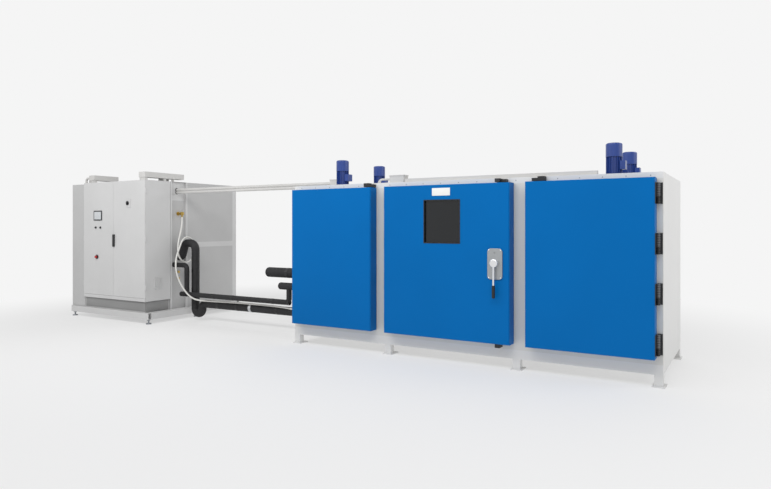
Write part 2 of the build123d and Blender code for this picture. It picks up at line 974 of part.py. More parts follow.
def drill_lock(pan):
    """The centre door's pan with the spindle hole and the two bolt holes."""
    with BuildPart() as drilled:
        add(pan)
        for z in (door_bottom, door_top):
            with Locations((lock_x, bolt_axis_y, z)):
                Cylinder(bolt_r + running, 4 * door_sheet, mode=Mode.SUBTRACT)
        with Locations((lock_x, door_front, lock_z)):
            Cylinder(spindle_r + running, 4 * door_sheet, rotation=(90, 0, 0), mode=Mode.SUBTRACT)
    return drilled.part


pins = {
    "left": (left_span[0] - pin_to_door, left_span[0], -1),
    "centre": (centre_span[0] - pin_to_door, centre_span[0], -1),
    "right": (right_span[1] + pin_to_door, right_span[1], 1),
}
for door_name, door_span in door_spans.items():
    pan_part = door_pan(door_span)
    liner_part = door_liner(door_span)
    if door_name == "centre":
        window_y = (door_front - window_lip, door_back + plug_depth + window_lip)
        pan_part = drill_lock(cut_window(pan_part, window_y))
        liner_part = cut_window(liner_part, window_y)
    write(f"door_{door_name}", pan_part)
    write(f"door_{door_name}_liner", liner_part)
    write(f"door_{door_name}_gasket", door_gasket(door_span))
    pin_x, edge_x, outward = pins[door_name]
    write(f"door_{door_name}_hinges", *[door_hinge(pin_x, edge_x, z) for z in hinge_zs])


def keeper(z):
    """A block on the frame with the hole that a lock bolt enters."""
    with BuildPart() as catch:
        block(around(lock_x, keeper_w), (bolt_axis_y - keeper_w / 2, y_front), z)
        fillet(catch.edges().filter_by(Axis.Z).sort_by(Axis.Y)[:2], bolt_r)
        with Locations((lock_x, bolt_axis_y, (z[0] + z[1]) / 2)):
            Cylinder(bolt_r + keeper_clear, z[1] - z[0], mode=Mode.SUBTRACT)
    return catch.part


keeper_top = (door_top + bolt_r, door_top + bolt_r + keeper_h)
keeper_bottom = (door_bottom - bolt_r - keeper_h, door_bottom - bolt_r)
frame_halves = [frame_hinge(pin_x, outward, z) for pin_x, _, outward in pins.values() for z in hinge_zs]
write("frame_hardware", *frame_halves, keeper(keeper_top), keeper(keeper_bottom))

# Window of the centre door
window_front = door_front - window_lip
window_back = door_back + plug_depth + window_lip
pane_x = inset(window_hole_x, window_wall)
pane_z = inset(window_hole_z, window_wall)
with BuildPart() as window_frame:
    block(window_hole_x, (window_front, window_back), window_hole_z)
    block(pane_x, (window_front, window_back), pane_z, Mode.SUBTRACT)
write("window_frame", window_frame.part)
outer_pane = board(pane_x, (door_front + pane_depth, door_front + pane_depth + pane_t), pane_z)
inner_pane = board(pane_x, (window_back - pane_depth, window_back - pane_depth + pane_t), pane_z)
write("window_panes", outer_pane, inner_pane)

# Lock of the centre door
plate_y = door_front - lock_plate_t
with BuildPart() as lock_plate:
    with BuildSketch(Plane(origin=(lock_x, door_front, lock_z - lock_plate_drop), x_dir=(1, 0, 0),
                           z_dir=(0, -1, 0))):
        RectangleRounded(lock_plate_w, lock_plate_h, lock_plate_r)
    extrude(amount=lock_plate_t)
    fillet(lock_plate.faces().sort_by(Axis.Y)[0].edges(), lock_plate_t / 3)
    with Locations((lock_x, door_front, lock_z)):
        Cylinder(spindle_r + running, 3 * lock_plate_t, rotation=(90, 0, 0), mode=Mode.SUBTRACT)
    with Locations((lock_x, plate_y, lock_z + lock_plate_h / 3)):
        Cylinder(key_r, lock_plate_t, rotation=(90, 0, 0), mode=Mode.SUBTRACT)
write("lock_plate", lock_plate.part)

hub_back = plate_y - seat
rod_y = hub_back - lever_y
with BuildPart() as door_lever:
    with BuildSketch(Plane(origin=(lock_x, hub_back, lock_z), z_dir=(0, -1, 0))):
        Circle(hub_r)
    extrude(amount=hub_d)
    fillet(door_lever.faces().sort_by(Axis.Y)[0].edges(), hub_r / 4)
    with BuildSketch(Plane(origin=(lock_x, hub_back, lock_z), z_dir=(0, 1, 0))):
        Circle(spindle_r)
    extrude(amount=spindle_l)
    with BuildSketch(Plane(origin=(lock_x, hub_back + spindle_l - crank_t, lock_z), z_dir=(0, 1, 0))):
        Circle(crank_r)
    extrude(amount=crank_t)
    with BuildSketch(Plane(origin=(lock_x, rod_y, lock_z), z_dir=(0, 0, -1))):
        Circle(lever_r)
    extrude(amount=lever_l)
write("door_lever", door_lever.part)

with BuildPart() as lever_grip:
    with BuildSketch(Plane(origin=(lock_x, rod_y, lock_z - lever_l - grip_wall), z_dir=(0, 0, 1))):
        Circle(grip_r)
    extrude(amount=grip_l)
    fillet(lever_grip.edges().group_by(Axis.Z)[0] + lever_grip.edges().group_by(Axis.Z)[-1], grip_wall)
    with BuildSketch(Plane(origin=(lock_x, rod_y, lock_z - lever_l), z_dir=(0, 0, 1))):
        Circle(lever_r)
    extrude(amount=grip_l, mode=Mode.SUBTRACT)
write("lever_grip", lever_grip.part)

# The bolts stand drawn back, with the door closed but not locked
bolt_inner = crank_r + hinge_gap
bolt_back = bolt_travel - bolt_out
write("lock_bolt_top", round_bar((lock_x, bolt_axis_y, lock_z + bolt_inner), bolt_r,
                                 door_top - bolt_back - lock_z - bolt_inner))
write("lock_bolt_bottom", round_bar((lock_x, bolt_axis_y, lock_z - bolt_inner), bolt_r,
                                    lock_z - bolt_inner - door_bottom - bolt_back, (0, 0, -1)))


def door_switch(x):
    """A limit switch on the roof's front edge, with its tongue beside it."""
    body_y = (y_front - switch_d, y_front)
    with BuildPart() as body:
        block(around(x, switch_w), body_y, (door_top + bolt_r, door_top + bolt_r + switch_h))
        fillet(body.edges().filter_by(Axis.Y), flap_pass)
    return body.part


def switch_tongue(x):
    """The part of a switch that the door's top edge works."""
    return board(around(x, tongue_w), (y_front - switch_d, y_front),
                 (door_top + bolt_r, door_top + bolt_r + tongue_h))


switch_places = [(left_span[1] - switch_inset[0], 1), (right_span[0] + switch_inset[2], -1)]
switch_pieces = [switch_tongue(lock_x + keeper_w / 2 + seat + tongue_w / 2)]
for switch_x, tongue_side in switch_places:
    switch_pieces.append(door_switch(switch_x))
    switch_pieces.append(switch_tongue(switch_x + tongue_side * (switch_w + tongue_w + 2 * seat) / 2))
write("door_switches", *switch_pieces)


# Machine unit: base, posts, panels and feet
unit_x = (machine_left, machine_right)
unit_y = (y_front, machine_rear)
base_z = (machine_base_z, base_top)
base_right = machine_right + machine_base_lip


def machine_frame():
    """Base tubes, corner posts, bay posts and rails."""
    pieces = []
    for y in ((y_front, y_front + machine_tube), (machine_rear - machine_tube, machine_rear)):
        pieces.append(square_tube((machine_left, base_right), y, base_z, beam_wall, "x"))
    for x in ((machine_left, machine_left + machine_tube), (base_right - machine_tube, base_right)):
        pieces.append(square_tube(x, inset(unit_y, machine_tube), base_z, beam_wall, "y"))
    post_x = (machine_right - machine_tube, machine_right)
    post_z = (base_top + sheet, machine_top)
    rear_post_y = (machine_rear - rear_post_w, machine_rear)
    pieces.append(square_tube(post_x, rear_post_y, post_z, beam_wall, "z"))
    bay_post_x = (machine_right - bay_post_w, machine_right)
    for y in ((bay_front, bay_front + bay_post_w), (bay_rear - bay_post_w, bay_rear)):
        pieces.append(square_tube(bay_post_x, y, post_z, frame_sheet, "z"))
    pieces.append(square_tube((bay_face - bay_post_w, bay_face),
                              (bay_front + bay_post_w, bay_rear - bay_post_w), bay_band, frame_sheet, "y"))
    pieces.append(square_tube(bay_post_x, (bay_rear, machine_rear - rear_post_w), rail_z, frame_sheet, "y"))
    return pieces


def levelling_feet():
    """A threaded foot with a round pad under each corner and mid side."""
    foot_xs = (machine_left + machine_tube, base_right - machine_tube / 2)
    foot_ys = (y_front + machine_tube / 2, (y_front + machine_rear) / 2, machine_rear - machine_tube / 2)
    pieces = []
    for x in foot_xs:
        for y in foot_ys:
            with BuildPart() as foot:
                with BuildSketch(Plane(origin=(x, y, 0))):
                    Circle(levelling_r)
                extrude(amount=levelling_pad, taper=12)
                with BuildSketch(Plane(origin=(x, y, 0))):
                    Circle(levelling_stem_r)
                extrude(amount=machine_base_z)
                with BuildSketch(Plane(origin=(x, y, machine_base_z - levelling_pad))):
                    RegularPolygon(2 * levelling_stem_r, 6)
                extrude(amount=levelling_pad)
            pieces.append(foot.part)
    return pieces


def machine_panels():
    """Floor, left casing, rear and right side panels, bay panel and cover."""
    sheet_x = (machine_right - sheet, machine_right)
    floor_x = (machine_left, machine_right)
    side_y = (bay_rear, machine_rear - rear_post_w)
    casing_front = y_front + casing_set_back
    pieces = [board(floor_x, inset(unit_y, machine_tube), (base_top, base_top + sheet))]
    casing_x = (machine_left, cabinet_left)
    casing_y = (casing_front, machine_rear)
    casing_z = (base_top + sheet, machine_top - casing_drop)
    side_z = (casing_z[0], casing_z[1] - sheet)
    pieces.append(board((machine_left, machine_left + sheet), casing_y, side_z))
    pieces.append(board(casing_x, casing_y, (side_z[1], casing_z[1])))
    for y in ((casing_y[0], casing_y[0] + sheet), (casing_y[1] - sheet, casing_y[1])):
        pieces.append(board((machine_left + sheet, cabinet_left), y, side_z))
    pieces.append(board((cabinet_left, machine_right - machine_tube), (machine_rear - sheet, machine_rear),
                        (base_top + sheet, machine_top)))
    pieces.append(board(sheet_x, side_y, (base_top + sheet, rail_z[0])))
    pieces.append(board(sheet_x, side_y, (rail_z[1], machine_top)))
    pieces.append(board((bay_face - sheet, bay_face), (bay_front + bay_post_w, bay_rear - bay_post_w),
                        (base_top + sheet, bay_band[0])))
    pieces.append(board((cabinet_left, machine_right), (bay_rear, machine_rear),
                        (machine_top, machine_top + sheet)))
    return pieces


write("machine_frame", *machine_frame())
write("levelling_feet", *levelling_feet())
write("machine_panels", *machine_panels())


# Refrigeration machinery inside the unit
def compressor(x):
    """A hermetic compressor: a domed can on a foot plate."""
    y = cabinet_rear + compressor_behind
    with BuildPart() as can:
        with BuildSketch(Plane(origin=(x, y, base_top + sheet))):
            RectangleRounded(compressor_foot, compressor_foot, compressor_foot / 8)
        extrude(amount=compressor_foot_t)
        with BuildSketch(Plane(origin=(x, y, base_top + sheet + compressor_foot_t))):
            Circle(compressor_r)
        extrude(amount=compressor_h)
        fillet(can.faces().sort_by(Axis.Z)[-1].edges(), compressor_dome)
    return can.part


def condenser():
    """A finned block that stands on the floor behind the compressors."""
    x = (cabinet_left + condenser_left, machine_right - condenser_right)
    y = (machine_rear - condenser_behind - condenser_d, machine_rear - condenser_behind)
    with BuildPart() as fins:
        with BuildSketch(Plane(origin=(sum(x) / 2, sum(y) / 2, base_top + sheet))):
            Rectangle(x[1] - x[0], coil_end_t)
            with GridLocations((x[1] - x[0]) / condenser_fins, 1, condenser_fins, 1):
                Rectangle(coil_fin_t, y[1] - y[0])
        extrude(amount=condenser_h)
    return fins.part


def receiver():
    """The liquid receiver: an upright domed vessel."""
    with BuildPart() as vessel:
        with BuildSketch(Plane(origin=(cabinet_left + receiver_in, cabinet_rear + receiver_behind,
                                       base_top + sheet))):
            Circle(receiver_r)
        extrude(amount=receiver_h)
        fillet(vessel.faces().sort_by(Axis.Z)[-1].edges(), receiver_dome)
    return vessel.part


compressor_xs = [machine_right - compressor_in - i * compressor_pitch for i in range(2)]
write("refrigeration_set", *[compressor(x) for x in compressor_xs], receiver(), condenser())


# Electrical cabinet
cabinet_x = (cabinet_left, machine_right)
cabinet_front = y_front + cabinet_door_t
seam_x = sum(cabinet_x) / 2
cabinet_pins = {"left": (cabinet_left - cabinet_pin_off, y_front + cabinet_pin_off),
                "right": (machine_right + cabinet_pin_off, y_front + cabinet_pin_off)}


def hollow(x, y, z, wall, open_face):
    """A sheet-metal box with one open face, chosen from its faces by a function."""
    with BuildPart() as box:
        block(x, y, z)
        offset(amount=-wall, openings=open_face(box))
    return box.part


def cabinet_hinge(side, z):
    """The fixed half of a cabinet hinge: lower knuckle with its pin."""
    x, y = cabinet_pins[side]
    rear_y = cabinet_front if side == "left" else cabinet_front + cabinet_hinge_r * 4
    x_limits = sorted((x - cabinet_hinge_r * (1 if side == "left" else -1),
                       cabinet_left - hinge_gap if side == "left" else machine_right))
    with BuildPart() as half:
        block(x_limits, (y, rear_y), (z - cabinet_hinge_h, z))
        with BuildSketch(Plane(origin=(x, y, z - cabinet_hinge_h))):
            Circle(cabinet_hinge_r)
        extrude(amount=cabinet_hinge_h)
        with BuildSketch(Plane(origin=(x, y, z))):
            Circle(cabinet_pin_r)
        extrude(amount=cabinet_hinge_h)
    return half.part


def cabinet_body():
    """The open-fronted cabinet, its light strip and plinth, the vent on its side and the hinge pins."""
    plinth_z = (base_top + sheet, base_top + plinth_h)
    plinth_y = (y_front + plinth_set_back, cabinet_rear)
    plinth_x = (cabinet_left, machine_right - plinth_set_back)
    strip_z = (base_top + plinth_h, cabinet_z)
    shell = hollow(cabinet_x, (cabinet_front, cabinet_rear), (cabinet_z, machine_top), cabinet_sheet,
                   lambda box: box.faces().sort_by(Axis.Y)[0])
    plinth = hollow(plinth_x, plinth_y, plinth_z, sheet, lambda box: box.faces().sort_by(Axis.Z)[0])
    strip = hollow(cabinet_x, (y_front, cabinet_rear), strip_z, sheet,
                   lambda box: box.faces().sort_by(Axis.Z)[0])
    with BuildPart() as vent:
        vent_limits_y = (y_front + vent_y[0], y_front + vent_y[1])
        block((machine_right, machine_right + vent_t), vent_limits_y, vent_z)
        slot_h = (vent_z[1] - vent_z[0]) / (2 * vent_slots + 1)
        for i in range(vent_slots):
            slot_z = vent_z[0] + (2 * i + 1) * slot_h
            block((machine_right + vent_t / 2, machine_right + vent_t), inset(vent_limits_y, vent_t),
                  (slot_z, slot_z + slot_h), Mode.SUBTRACT)
    hinges = [cabinet_hinge(side, z) for side in cabinet_pins for z in cabinet_hinge_zs]
    return [shell, plinth, strip, vent.part] + hinges


def drill_front(places, radius):
    """Round holes through the front sheet of what is being built."""
    for x, z in places:
        with Locations((x, y_front, z)):
            Cylinder(radius, 4 * cabinet_sheet, rotation=(90, 0, 0), mode=Mode.SUBTRACT)


def cabinet_door(side, holes):
    """A shallow door pan with its hinge knuckles and the holes for what it carries."""
    x = ((cabinet_left, seam_x - cabinet_door_gap / 2) if side == "left"
         else (seam_x + cabinet_door_gap / 2, machine_right))
    pin_x, pin_y = cabinet_pins[side]
    with BuildPart() as pan:
        block(x, (y_front, cabinet_front - seat), inset((cabinet_z, machine_top), cabinet_door_gap))
        offset(amount=-cabinet_sheet, openings=pan.faces().sort_by(Axis.Y)[-1])
        for radius, places in holes.items():
            drill_front(places, radius)
        for z in cabinet_hinge_zs:
            with BuildSketch(Plane(origin=(pin_x, pin_y, z + hinge_gap))):
                Circle(cabinet_hinge_r)
            extrude(amount=cabinet_hinge_h)
            edge_x = cabinet_left if side == "left" else machine_right
            block(sorted((pin_x, edge_x)), (pin_y - cabinet_hinge_r, pin_y),
                  (z + hinge_gap, z + hinge_gap + cabinet_hinge_h))
            with BuildSketch(Plane(origin=(pin_x, pin_y, z + hinge_gap))):
                Circle(cabinet_pin_r + running)
            extrude(amount=cabinet_hinge_h, mode=Mode.SUBTRACT)
    return pan.part


def front_disc(x, z, radius, near, far):
    """A round piece square to the front, from one depth to another."""
    return round_bar((x, near, z), radius, far - near, (0, 1, 0))


button_places = [(cabinet_left + x, button_z) for x in button_xs]
stop_place = (cabinet_left + stop_x, stop_z)
selector_place = (cabinet_left + selector_x, selector_z)
handle_pivot = (seam_x + cabinet_door_gap / 2 + handle_w / 2, handle_z + handle_h / 2 - handle_w / 2)
left_holes = {button_stem_r + running: button_places + [stop_place]}
right_holes = {handle_stem_r + running: [handle_pivot, selector_place]}

with BuildPart() as selector_plate:
    with BuildSketch(Plane(origin=(selector_place[0], y_front, selector_z), x_dir=(1, 0, 0),
                           z_dir=(0, -1, 0))):
        RectangleRounded(selector_w, selector_w, selector_plate_t)
        Circle(handle_stem_r + running, mode=Mode.SUBTRACT)
    extrude(amount=selector_plate_t)

write("cabinet_body", *cabinet_body())
write("cabinet_door_left", cabinet_door("left", left_holes))
write("cabinet_door_right", cabinet_door("right", right_holes), selector_plate.part)


def ring(place, outer, inner, depth):
    """A flat ring on the front of the cabinet."""
    with BuildPart() as flat_ring:
        with BuildSketch(Plane(origin=(place[0], y_front, place[1]), z_dir=(0, -1, 0))):
            Circle(outer)
            Circle(inner, mode=Mode.SUBTRACT)
        extrude(amount=depth)
    return flat_ring.part


def push_button(place, radius, bezel_t, out):
    """A button head with the stem that passes through the door."""
    with BuildPart() as button:
        with BuildSketch(Plane(origin=(place[0], y_front - bezel_t - button_stroke - hinge_gap, place[1]),
                               z_dir=(0, -1, 0))):
            Circle(radius)
        extrude(amount=out)
        fillet(button.faces().sort_by(Axis.Y)[0].edges(), out / 4)
        with BuildSketch(Plane(origin=(place[0], y_front - bezel_t - button_stroke - hinge_gap, place[1]),
                               z_dir=(0, 1, 0))):
            Circle(button_stem_r)
        extrude(amount=bezel_t + button_stroke + hinge_gap + cabinet_door_t)
    return button.part


with BuildPart() as operator_screen:
    block(around(cabinet_left + hmi_x, hmi_w), (y_front - hmi_t, y_front), around(hmi_z, hmi_h))
    fillet(operator_screen.edges().filter_by(Axis.Y), hmi_t)
    block(inset(around(cabinet_left + hmi_x, hmi_w), 2 * hmi_t), (y_front - hmi_t, y_front - hmi_t + sheet),
          inset(around(hmi_z, hmi_h), 2 * hmi_t), Mode.SUBTRACT)
bezels = [ring(place, button_bezel_r, button_stem_r + running, button_bezel_t) for place in button_places]
stop_plate = ring(stop_place, stop_plate_r, button_stem_r + running, stop_plate_t)
write("operator_panel", operator_screen.part, *bezels, stop_plate)
write("button_left", push_button(button_places[0], button_r, button_bezel_t, button_out))
write("button_right", push_button(button_places[1], button_r, button_bezel_t, button_out))
write("emergency_stop", push_button(stop_place, stop_r, stop_plate_t, stop_out))

knob_back = y_front - selector_plate_t - seat
with BuildPart() as selector_switch:
    with BuildSketch(Plane(origin=(selector_place[0], knob_back, selector_z), z_dir=(0, -1, 0))):
        Circle(selector_knob_r)
    extrude(amount=selector_knob_h / 2)
    block(around(selector_place[0], selector_knob_r / 2), (knob_back - selector_knob_h, knob_back),
          around(selector_z, 2 * selector_knob_r))
    with BuildSketch(Plane(origin=(selector_place[0], knob_back, selector_z), z_dir=(0, 1, 0))):
        Circle(handle_stem_r)
    extrude(amount=selector_plate_t + cabinet_door_t)
write("selector_switch", selector_switch.part)

with BuildPart() as cabinet_handle:
    handle_back = y_front - hinge_gap
    with BuildSketch(Plane(origin=(handle_pivot[0], handle_back, handle_z), x_dir=(1, 0, 0),
                           z_dir=(0, -1, 0))):
        RectangleRounded(handle_w, handle_h, handle_w / 3)
    extrude(amount=handle_t)
    fillet(cabinet_handle.faces().sort_by(Axis.Y)[0].edges(), handle_t / 4)
    with BuildSketch(Plane(origin=(handle_pivot[0], handle_back, handle_pivot[1]), z_dir=(0, 1, 0))):
        Circle(handle_stem_r)
    extrude(amount=hinge_gap + cabinet_door_t)
write("cabinet_handle", cabinet_handle.part)


def switchgear():
    """The mounting plate on its stand-offs, with wiring ducts and rows of devices."""
    back_y = cabinet_rear - cabinet_sheet
    plate_y = (back_y - plate_gap - frame_sheet, back_y - plate_gap)
    plate_x = inset(cabinet_x, plate_margin)
    plate_z = inset((cabinet_z, machine_top), plate_margin)
    with BuildPart() as plate:
        block(plate_x, plate_y, plate_z)
        for x in inset(plate_x, plate_margin):
            for z in inset(plate_z, plate_margin):
                with BuildSketch(Plane(origin=(x, plate_y[1], z), z_dir=(0, 1, 0))):
                    Circle(handle_stem_r)
                extrude(amount=plate_gap)
    pieces = [plate.part]
    pitch = (plate_z[1] - plate_z[0]) / gear_rows
    row_x = inset(plate_x, duct_w)
    for row in range(gear_rows):
        low = plate_z[0] + row * pitch
        pieces.append(board(row_x, (plate_y[0] - duct_w, plate_y[0]), (low, low + duct_w)))
        devices = gear_devices - row
        step = (row_x[1] - row_x[0]) / devices
        for device in range(devices):
            left = row_x[0] + device * step
            pieces.append(board((left, left + step * gear_fill),
                                (plate_y[0] - device_d - row * duct_w / 4, plate_y[0]),
                                (low + pitch / 2 - device_h / 2 + duct_w / 2, low + pitch / 2 + device_h / 2
                                 + duct_w / 2)))
    return pieces


write("switchgear", *switchgear())


# Wiring over the roofs
tray_z = (machine_top + tray_stand, machine_top + tray_stand + tray_h)
right_tray_x = (machine_right - tray_w - tray_inset, machine_right - tray_inset)
left_tray_x = (cabinet_left + tray_inset, cabinet_left + tray_inset + tray_w)
junction_x = (centre_span[0] - junction_overhang, centre_span[0] - junction_overhang + junction_w)
junction_y = (y_front + tray_inset, y_front + tray_inset + junction_d)


def cable_tray(x, y):
    """A closed tray on two stands."""
    with BuildPart() as tray:
        block(x, y, tray_z)
        for stand_y in ((y[0] + tray_inset, y[0] + tray_inset + tray_stand),
                        (y[0] + tray_stand_pitch, y[0] + tray_stand_pitch + tray_stand)):
            block(inset(x, tray_inset), stand_y, (machine_top, tray_z[0]))
    return tray.part


def roof_box(x, y, height):
    """A wiring box on the chamber's roof, with a lid that stands proud all round."""
    with BuildPart() as box:
        block(inset(x, lid_lip), inset(y, lid_lip), (roof_z, roof_z + height - lid_t))
        block(x, y, (roof_z + height - lid_t, roof_z + height))
    return box.part


def cable_runs():
    """Trays, boxes, trunking and the conduits that join them."""
    pieces = [cable_tray(right_tray_x, (y_front + tray_inset, y_front + right_tray_l)),
              cable_tray(left_tray_x, (y_front + left_tray_front, y_front + left_tray_front + left_tray_l))]
    pieces.append(roof_box(junction_x, junction_y, junction_h))
    trunk_y = (y_front + trunk_inset, y_front + trunk_inset + trunk_w)
    pieces.append(board((junction_x[1], right_fan_x - motor_foot_w / 2 - seat), trunk_y,
                        (roof_z, roof_z + trunk_h)))
    end_box_x = (conduit_end_x, conduit_end_x + roof_box_w)
    pieces.append(roof_box(end_box_x, around(conduit_y, roof_box_w), roof_box_h))
    for drop, z, bend in zip(conduit_drops, conduit_zs, conduit_bends):
        x = machine_right - drop[0]
        y = conduit_y - drop[1]
        start = (x, y, tray_z[0])
        pieces.append(bent_tube([start, (x, y, z), (x, conduit_y, z), (conduit_end_x + lid_lip, conduit_y, z)],
                                bend, conduit_r))
    for i in range(2):
        y = junction_y[0] + flex_step * (i + 1)
        z = roof_z + junction_h / 2
        far_x = junction_x[0] - flex_reach - flex_step * i
        pieces.append(bent_tube([(junction_x[0] + lid_lip, y, z), (far_x, y, z), (far_x, y, roof_z)],
                                flex_bend, flex_r))
        y = y_front + left_tray_front + flex_step * (2 * i + 1)
        far_x = cabinet_left - casing_w / 3
        z = sum(tray_z) / 2
        pieces.append(bent_tube([(left_tray_x[0], y, z), (far_x, y, z),
                                 (far_x, y, machine_top - casing_drop)], flex_bend, flex_r * 1.5))
    return pieces


# Refrigerant pipes
coil_face = zone_spans["left"][0] + seat
stub_turn_x = coil_face + 2 * stub_core_bend
stub_core_points = [(x_left, small_pipe_y, stub_z), (stub_turn_x, small_pipe_y, stub_z),
                    (stub_turn_x, small_pipe_y, coil_z[0] - seat)]
big_points = [(bay_face, big_wall_z), (machine_right + big_neck[0], big_wall_z),
              (machine_right + big_neck[1], big_top_z), (big_riser_x, big_top_z), (big_riser_x, trap_z),
              (big_riser_x + trap_w, trap_z), (big_riser_x + trap_w, big_run_z), (big_join_x, big_run_z),
              (big_join_x, header_z)]
big_bends = [neck_bend, neck_bend, riser_bend, trap_w / 2 - hinge_gap, trap_w / 2 - hinge_gap, trap_w / 2,
             riser_bend]
small_points = [(bay_face, small_wall_z), (small_riser_x, small_wall_z), (small_riser_x, small_run_z),
                (small_join_x, small_run_z), (small_join_x, stub_z)]


def header(start_x, y, z, radius):
    """An insulated pipe with a domed end, up to the chamber's side."""
    with BuildPart() as pipe:
        with BuildSketch(Plane(origin=(start_x, y, z), z_dir=(1, 0, 0))):
            Circle(radius)
        extrude(amount=x_left - start_x)
        fillet(pipe.faces().sort_by(Axis.X)[0].edges(), radius / 2)
    return pipe.part


with BuildPart() as big_pipe:
    add(bent_tube([(x, pipe_y, z) for x, z in big_points], big_bends, big_r))
    add(header(header_x, pipe_y, header_z, header_r))
    add(round_bar((x_left, pipe_y, header_z), header_core_r - pipe_clear, coil_face - x_left, (1, 0, 0)))
with BuildPart() as small_pipe:
    add(bent_tube([(x, small_pipe_y, z) for x, z in small_points], small_bend, small_r))
    add(header(stub_x, small_pipe_y, stub_z, stub_r))
    add(bent_tube(stub_core_points, stub_core_bend, stub_core_r - pipe_clear))
    with BuildSketch(Plane(origin=(small_riser_x, small_pipe_y, small_run_z), z_dir=(-1, 0, 0))):
        Circle(small_r)
    extrude(amount=small_cap_l)
write("refrigerant_pipes", big_pipe.part, small_pipe.part)

# Valve on the service bay, with two capped ports below it
valve_x = bay_face + valve_l
spigot_z = valve_z - valve_body_r
with BuildPart() as valve:
    with BuildSketch(Plane(origin=(bay_face, valve_y, valve_z), z_dir=(1, 0, 0))):
        Circle(valve_r * 1.6)
    extrude(amount=valve_r / 2)
    with BuildSketch(Plane(origin=(bay_face, valve_y, valve_z), z_dir=(1, 0, 0))):
        Circle(valve_r)
    extrude(amount=valve_l + valve_body_r)
    with BuildSketch(Plane(origin=(valve_x, valve_y, valve_z - valve_body_r))):
        RegularPolygon(valve_body_r, 8)
    extrude(amount=2 * valve_body_r)
    with BuildSketch(Plane(origin=(valve_x, valve_y, spigot_z - spigot_l))):
        Circle(hose_r)
    extrude(amount=spigot_l + hose_r)
    with Locations((valve_x, valve_y, valve_z + valve_body_r)):
        Cylinder(valve_stem_r + running, valve_body_r, mode=Mode.SUBTRACT)
ports = [round_bar((bay_face, valve_y, z), port_r, port_l, (1, 0, 0)) for z in port_zs]
write("shutoff_valve", valve.part, *ports)

stem_top = valve_z + valve_body_r + valve_stem_h
with BuildPart() as valve_lever:
    with BuildSketch(Plane(origin=(valve_x, valve_y, valve_z + valve_body_r * 0.75))):
        Circle(valve_stem_r)
    extrude(amount=stem_top - valve_z - valve_body_r * 0.75)
    with BuildSketch(Plane(origin=(valve_x + valve_lever_l / 2 - valve_lever_w / 2, valve_y, stem_top))):
        SlotOverall(valve_lever_l, valve_lever_w)
    extrude(amount=valve_lever_t)
write("valve_lever", valve_lever.part)

# White hose: down from the valve, one turn over the big pipe, then along the pipes to the chamber
loop_centre = Vector(machine_right + hose_loop_out, pipe_y, hose_loop_z)
loop_across = Vector(-sin(radians(hose_loop_yaw)), cos(radians(hose_loop_yaw)), 0)
loop_steps = 12
gland_x = x_left - gland_l


def loop_point(step):
    """A corner of the hose's turn, which shifts to the right as it goes round."""
    angle = radians(180 + 360 / loop_steps * (step + 0.5))
    reach = hose_loop_r / cos(pi / loop_steps)
    shift = hose_loop_pitch * (step / (loop_steps - 1) - 0.5)
    corner = loop_centre + loop_across * (reach * cos(angle)) + Vector(shift, 0, reach * sin(angle))
    return (corner.X, corner.Y, corner.Z)


def corner_radii(points):
    """For each corner, 0.45 of its shorter run over the tangent of half its turn."""
    radii = []
    for before, corner, after in zip(points, points[1:], points[2:]):
        run_in = Vector(*corner) - Vector(*before)
        run_out = Vector(*after) - Vector(*corner)
        half_turn = radians(run_in.get_angle(run_out) / 2)
        radii.append(0.45 * min(run_in.length, run_out.length) / tan(half_turn))
    return radii


hose_points = [(valve_x, valve_y, spigot_z - spigot_l - seat), (valve_x, valve_y, 1566), (-5097, -174, 1436),
               (-5060, -245, 1312), (-5032, -287, 1198)]
hose_points += [loop_point(step) for step in range(loop_steps)]
hose_points += [(-4962, -352, 1100), (-4946, -400, 985), (-4930, -418, 860), (-4910, -405, 735),
                (-4880, -372, 615), (-4835, -330, 505), (-4775, -290, 415), (-4695, -245, 358),
                (-4590, -196, 339), (-4440, -163, 336), (-4190, -148, 339), (-3900, -141, 343),
                (-3600, -139, 345), (-3300, -141, 344), (-3050, -148, 341), (-2860, -163, 334),
                (-2700, -178, 322), (-2540, -188, 313), (-2390, -190, 312), (gland_x - seat, -190, 312)]
hose_radii = corner_radii(hose_points)
hose = bent_tube(hose_points, hose_radii, hose_r)
write("hose", hose)
pieces_of_wiring = cable_runs()
gland = round_bar((gland_x, hose_points[-1][1], hose_points[-1][2]), 2 * hose_r, gland_l, (1, 0, 0))
write("cable_runs", *pieces_of_wiring, gland)
print("hose corner radii", [round(radius) for radius in hose_radii])
print("hose volume over section", round(hose.volume / (pi * hose_r ** 2)), "mm")
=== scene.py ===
from math import cos, pi, radians, sin

import bmesh
import bpy
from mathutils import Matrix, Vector


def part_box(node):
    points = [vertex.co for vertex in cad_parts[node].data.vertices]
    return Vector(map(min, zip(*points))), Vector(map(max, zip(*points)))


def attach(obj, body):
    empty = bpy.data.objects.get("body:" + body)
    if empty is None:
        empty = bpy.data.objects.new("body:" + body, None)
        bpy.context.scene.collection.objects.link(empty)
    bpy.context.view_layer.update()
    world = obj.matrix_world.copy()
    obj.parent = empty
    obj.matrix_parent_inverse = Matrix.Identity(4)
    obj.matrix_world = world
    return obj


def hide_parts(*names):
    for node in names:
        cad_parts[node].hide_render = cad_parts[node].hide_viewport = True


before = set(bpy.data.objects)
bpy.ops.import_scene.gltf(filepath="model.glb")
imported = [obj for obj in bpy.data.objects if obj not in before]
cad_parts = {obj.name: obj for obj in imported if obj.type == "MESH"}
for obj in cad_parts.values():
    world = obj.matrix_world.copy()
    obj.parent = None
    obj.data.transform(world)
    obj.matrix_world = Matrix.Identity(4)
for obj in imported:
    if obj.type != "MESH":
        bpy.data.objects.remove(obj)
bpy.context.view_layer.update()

ROOT = "frame_and_machine"
X = Vector((1, 0, 0))
Y = Vector((0, 1, 0))
Z = Vector((0, 0, 1))

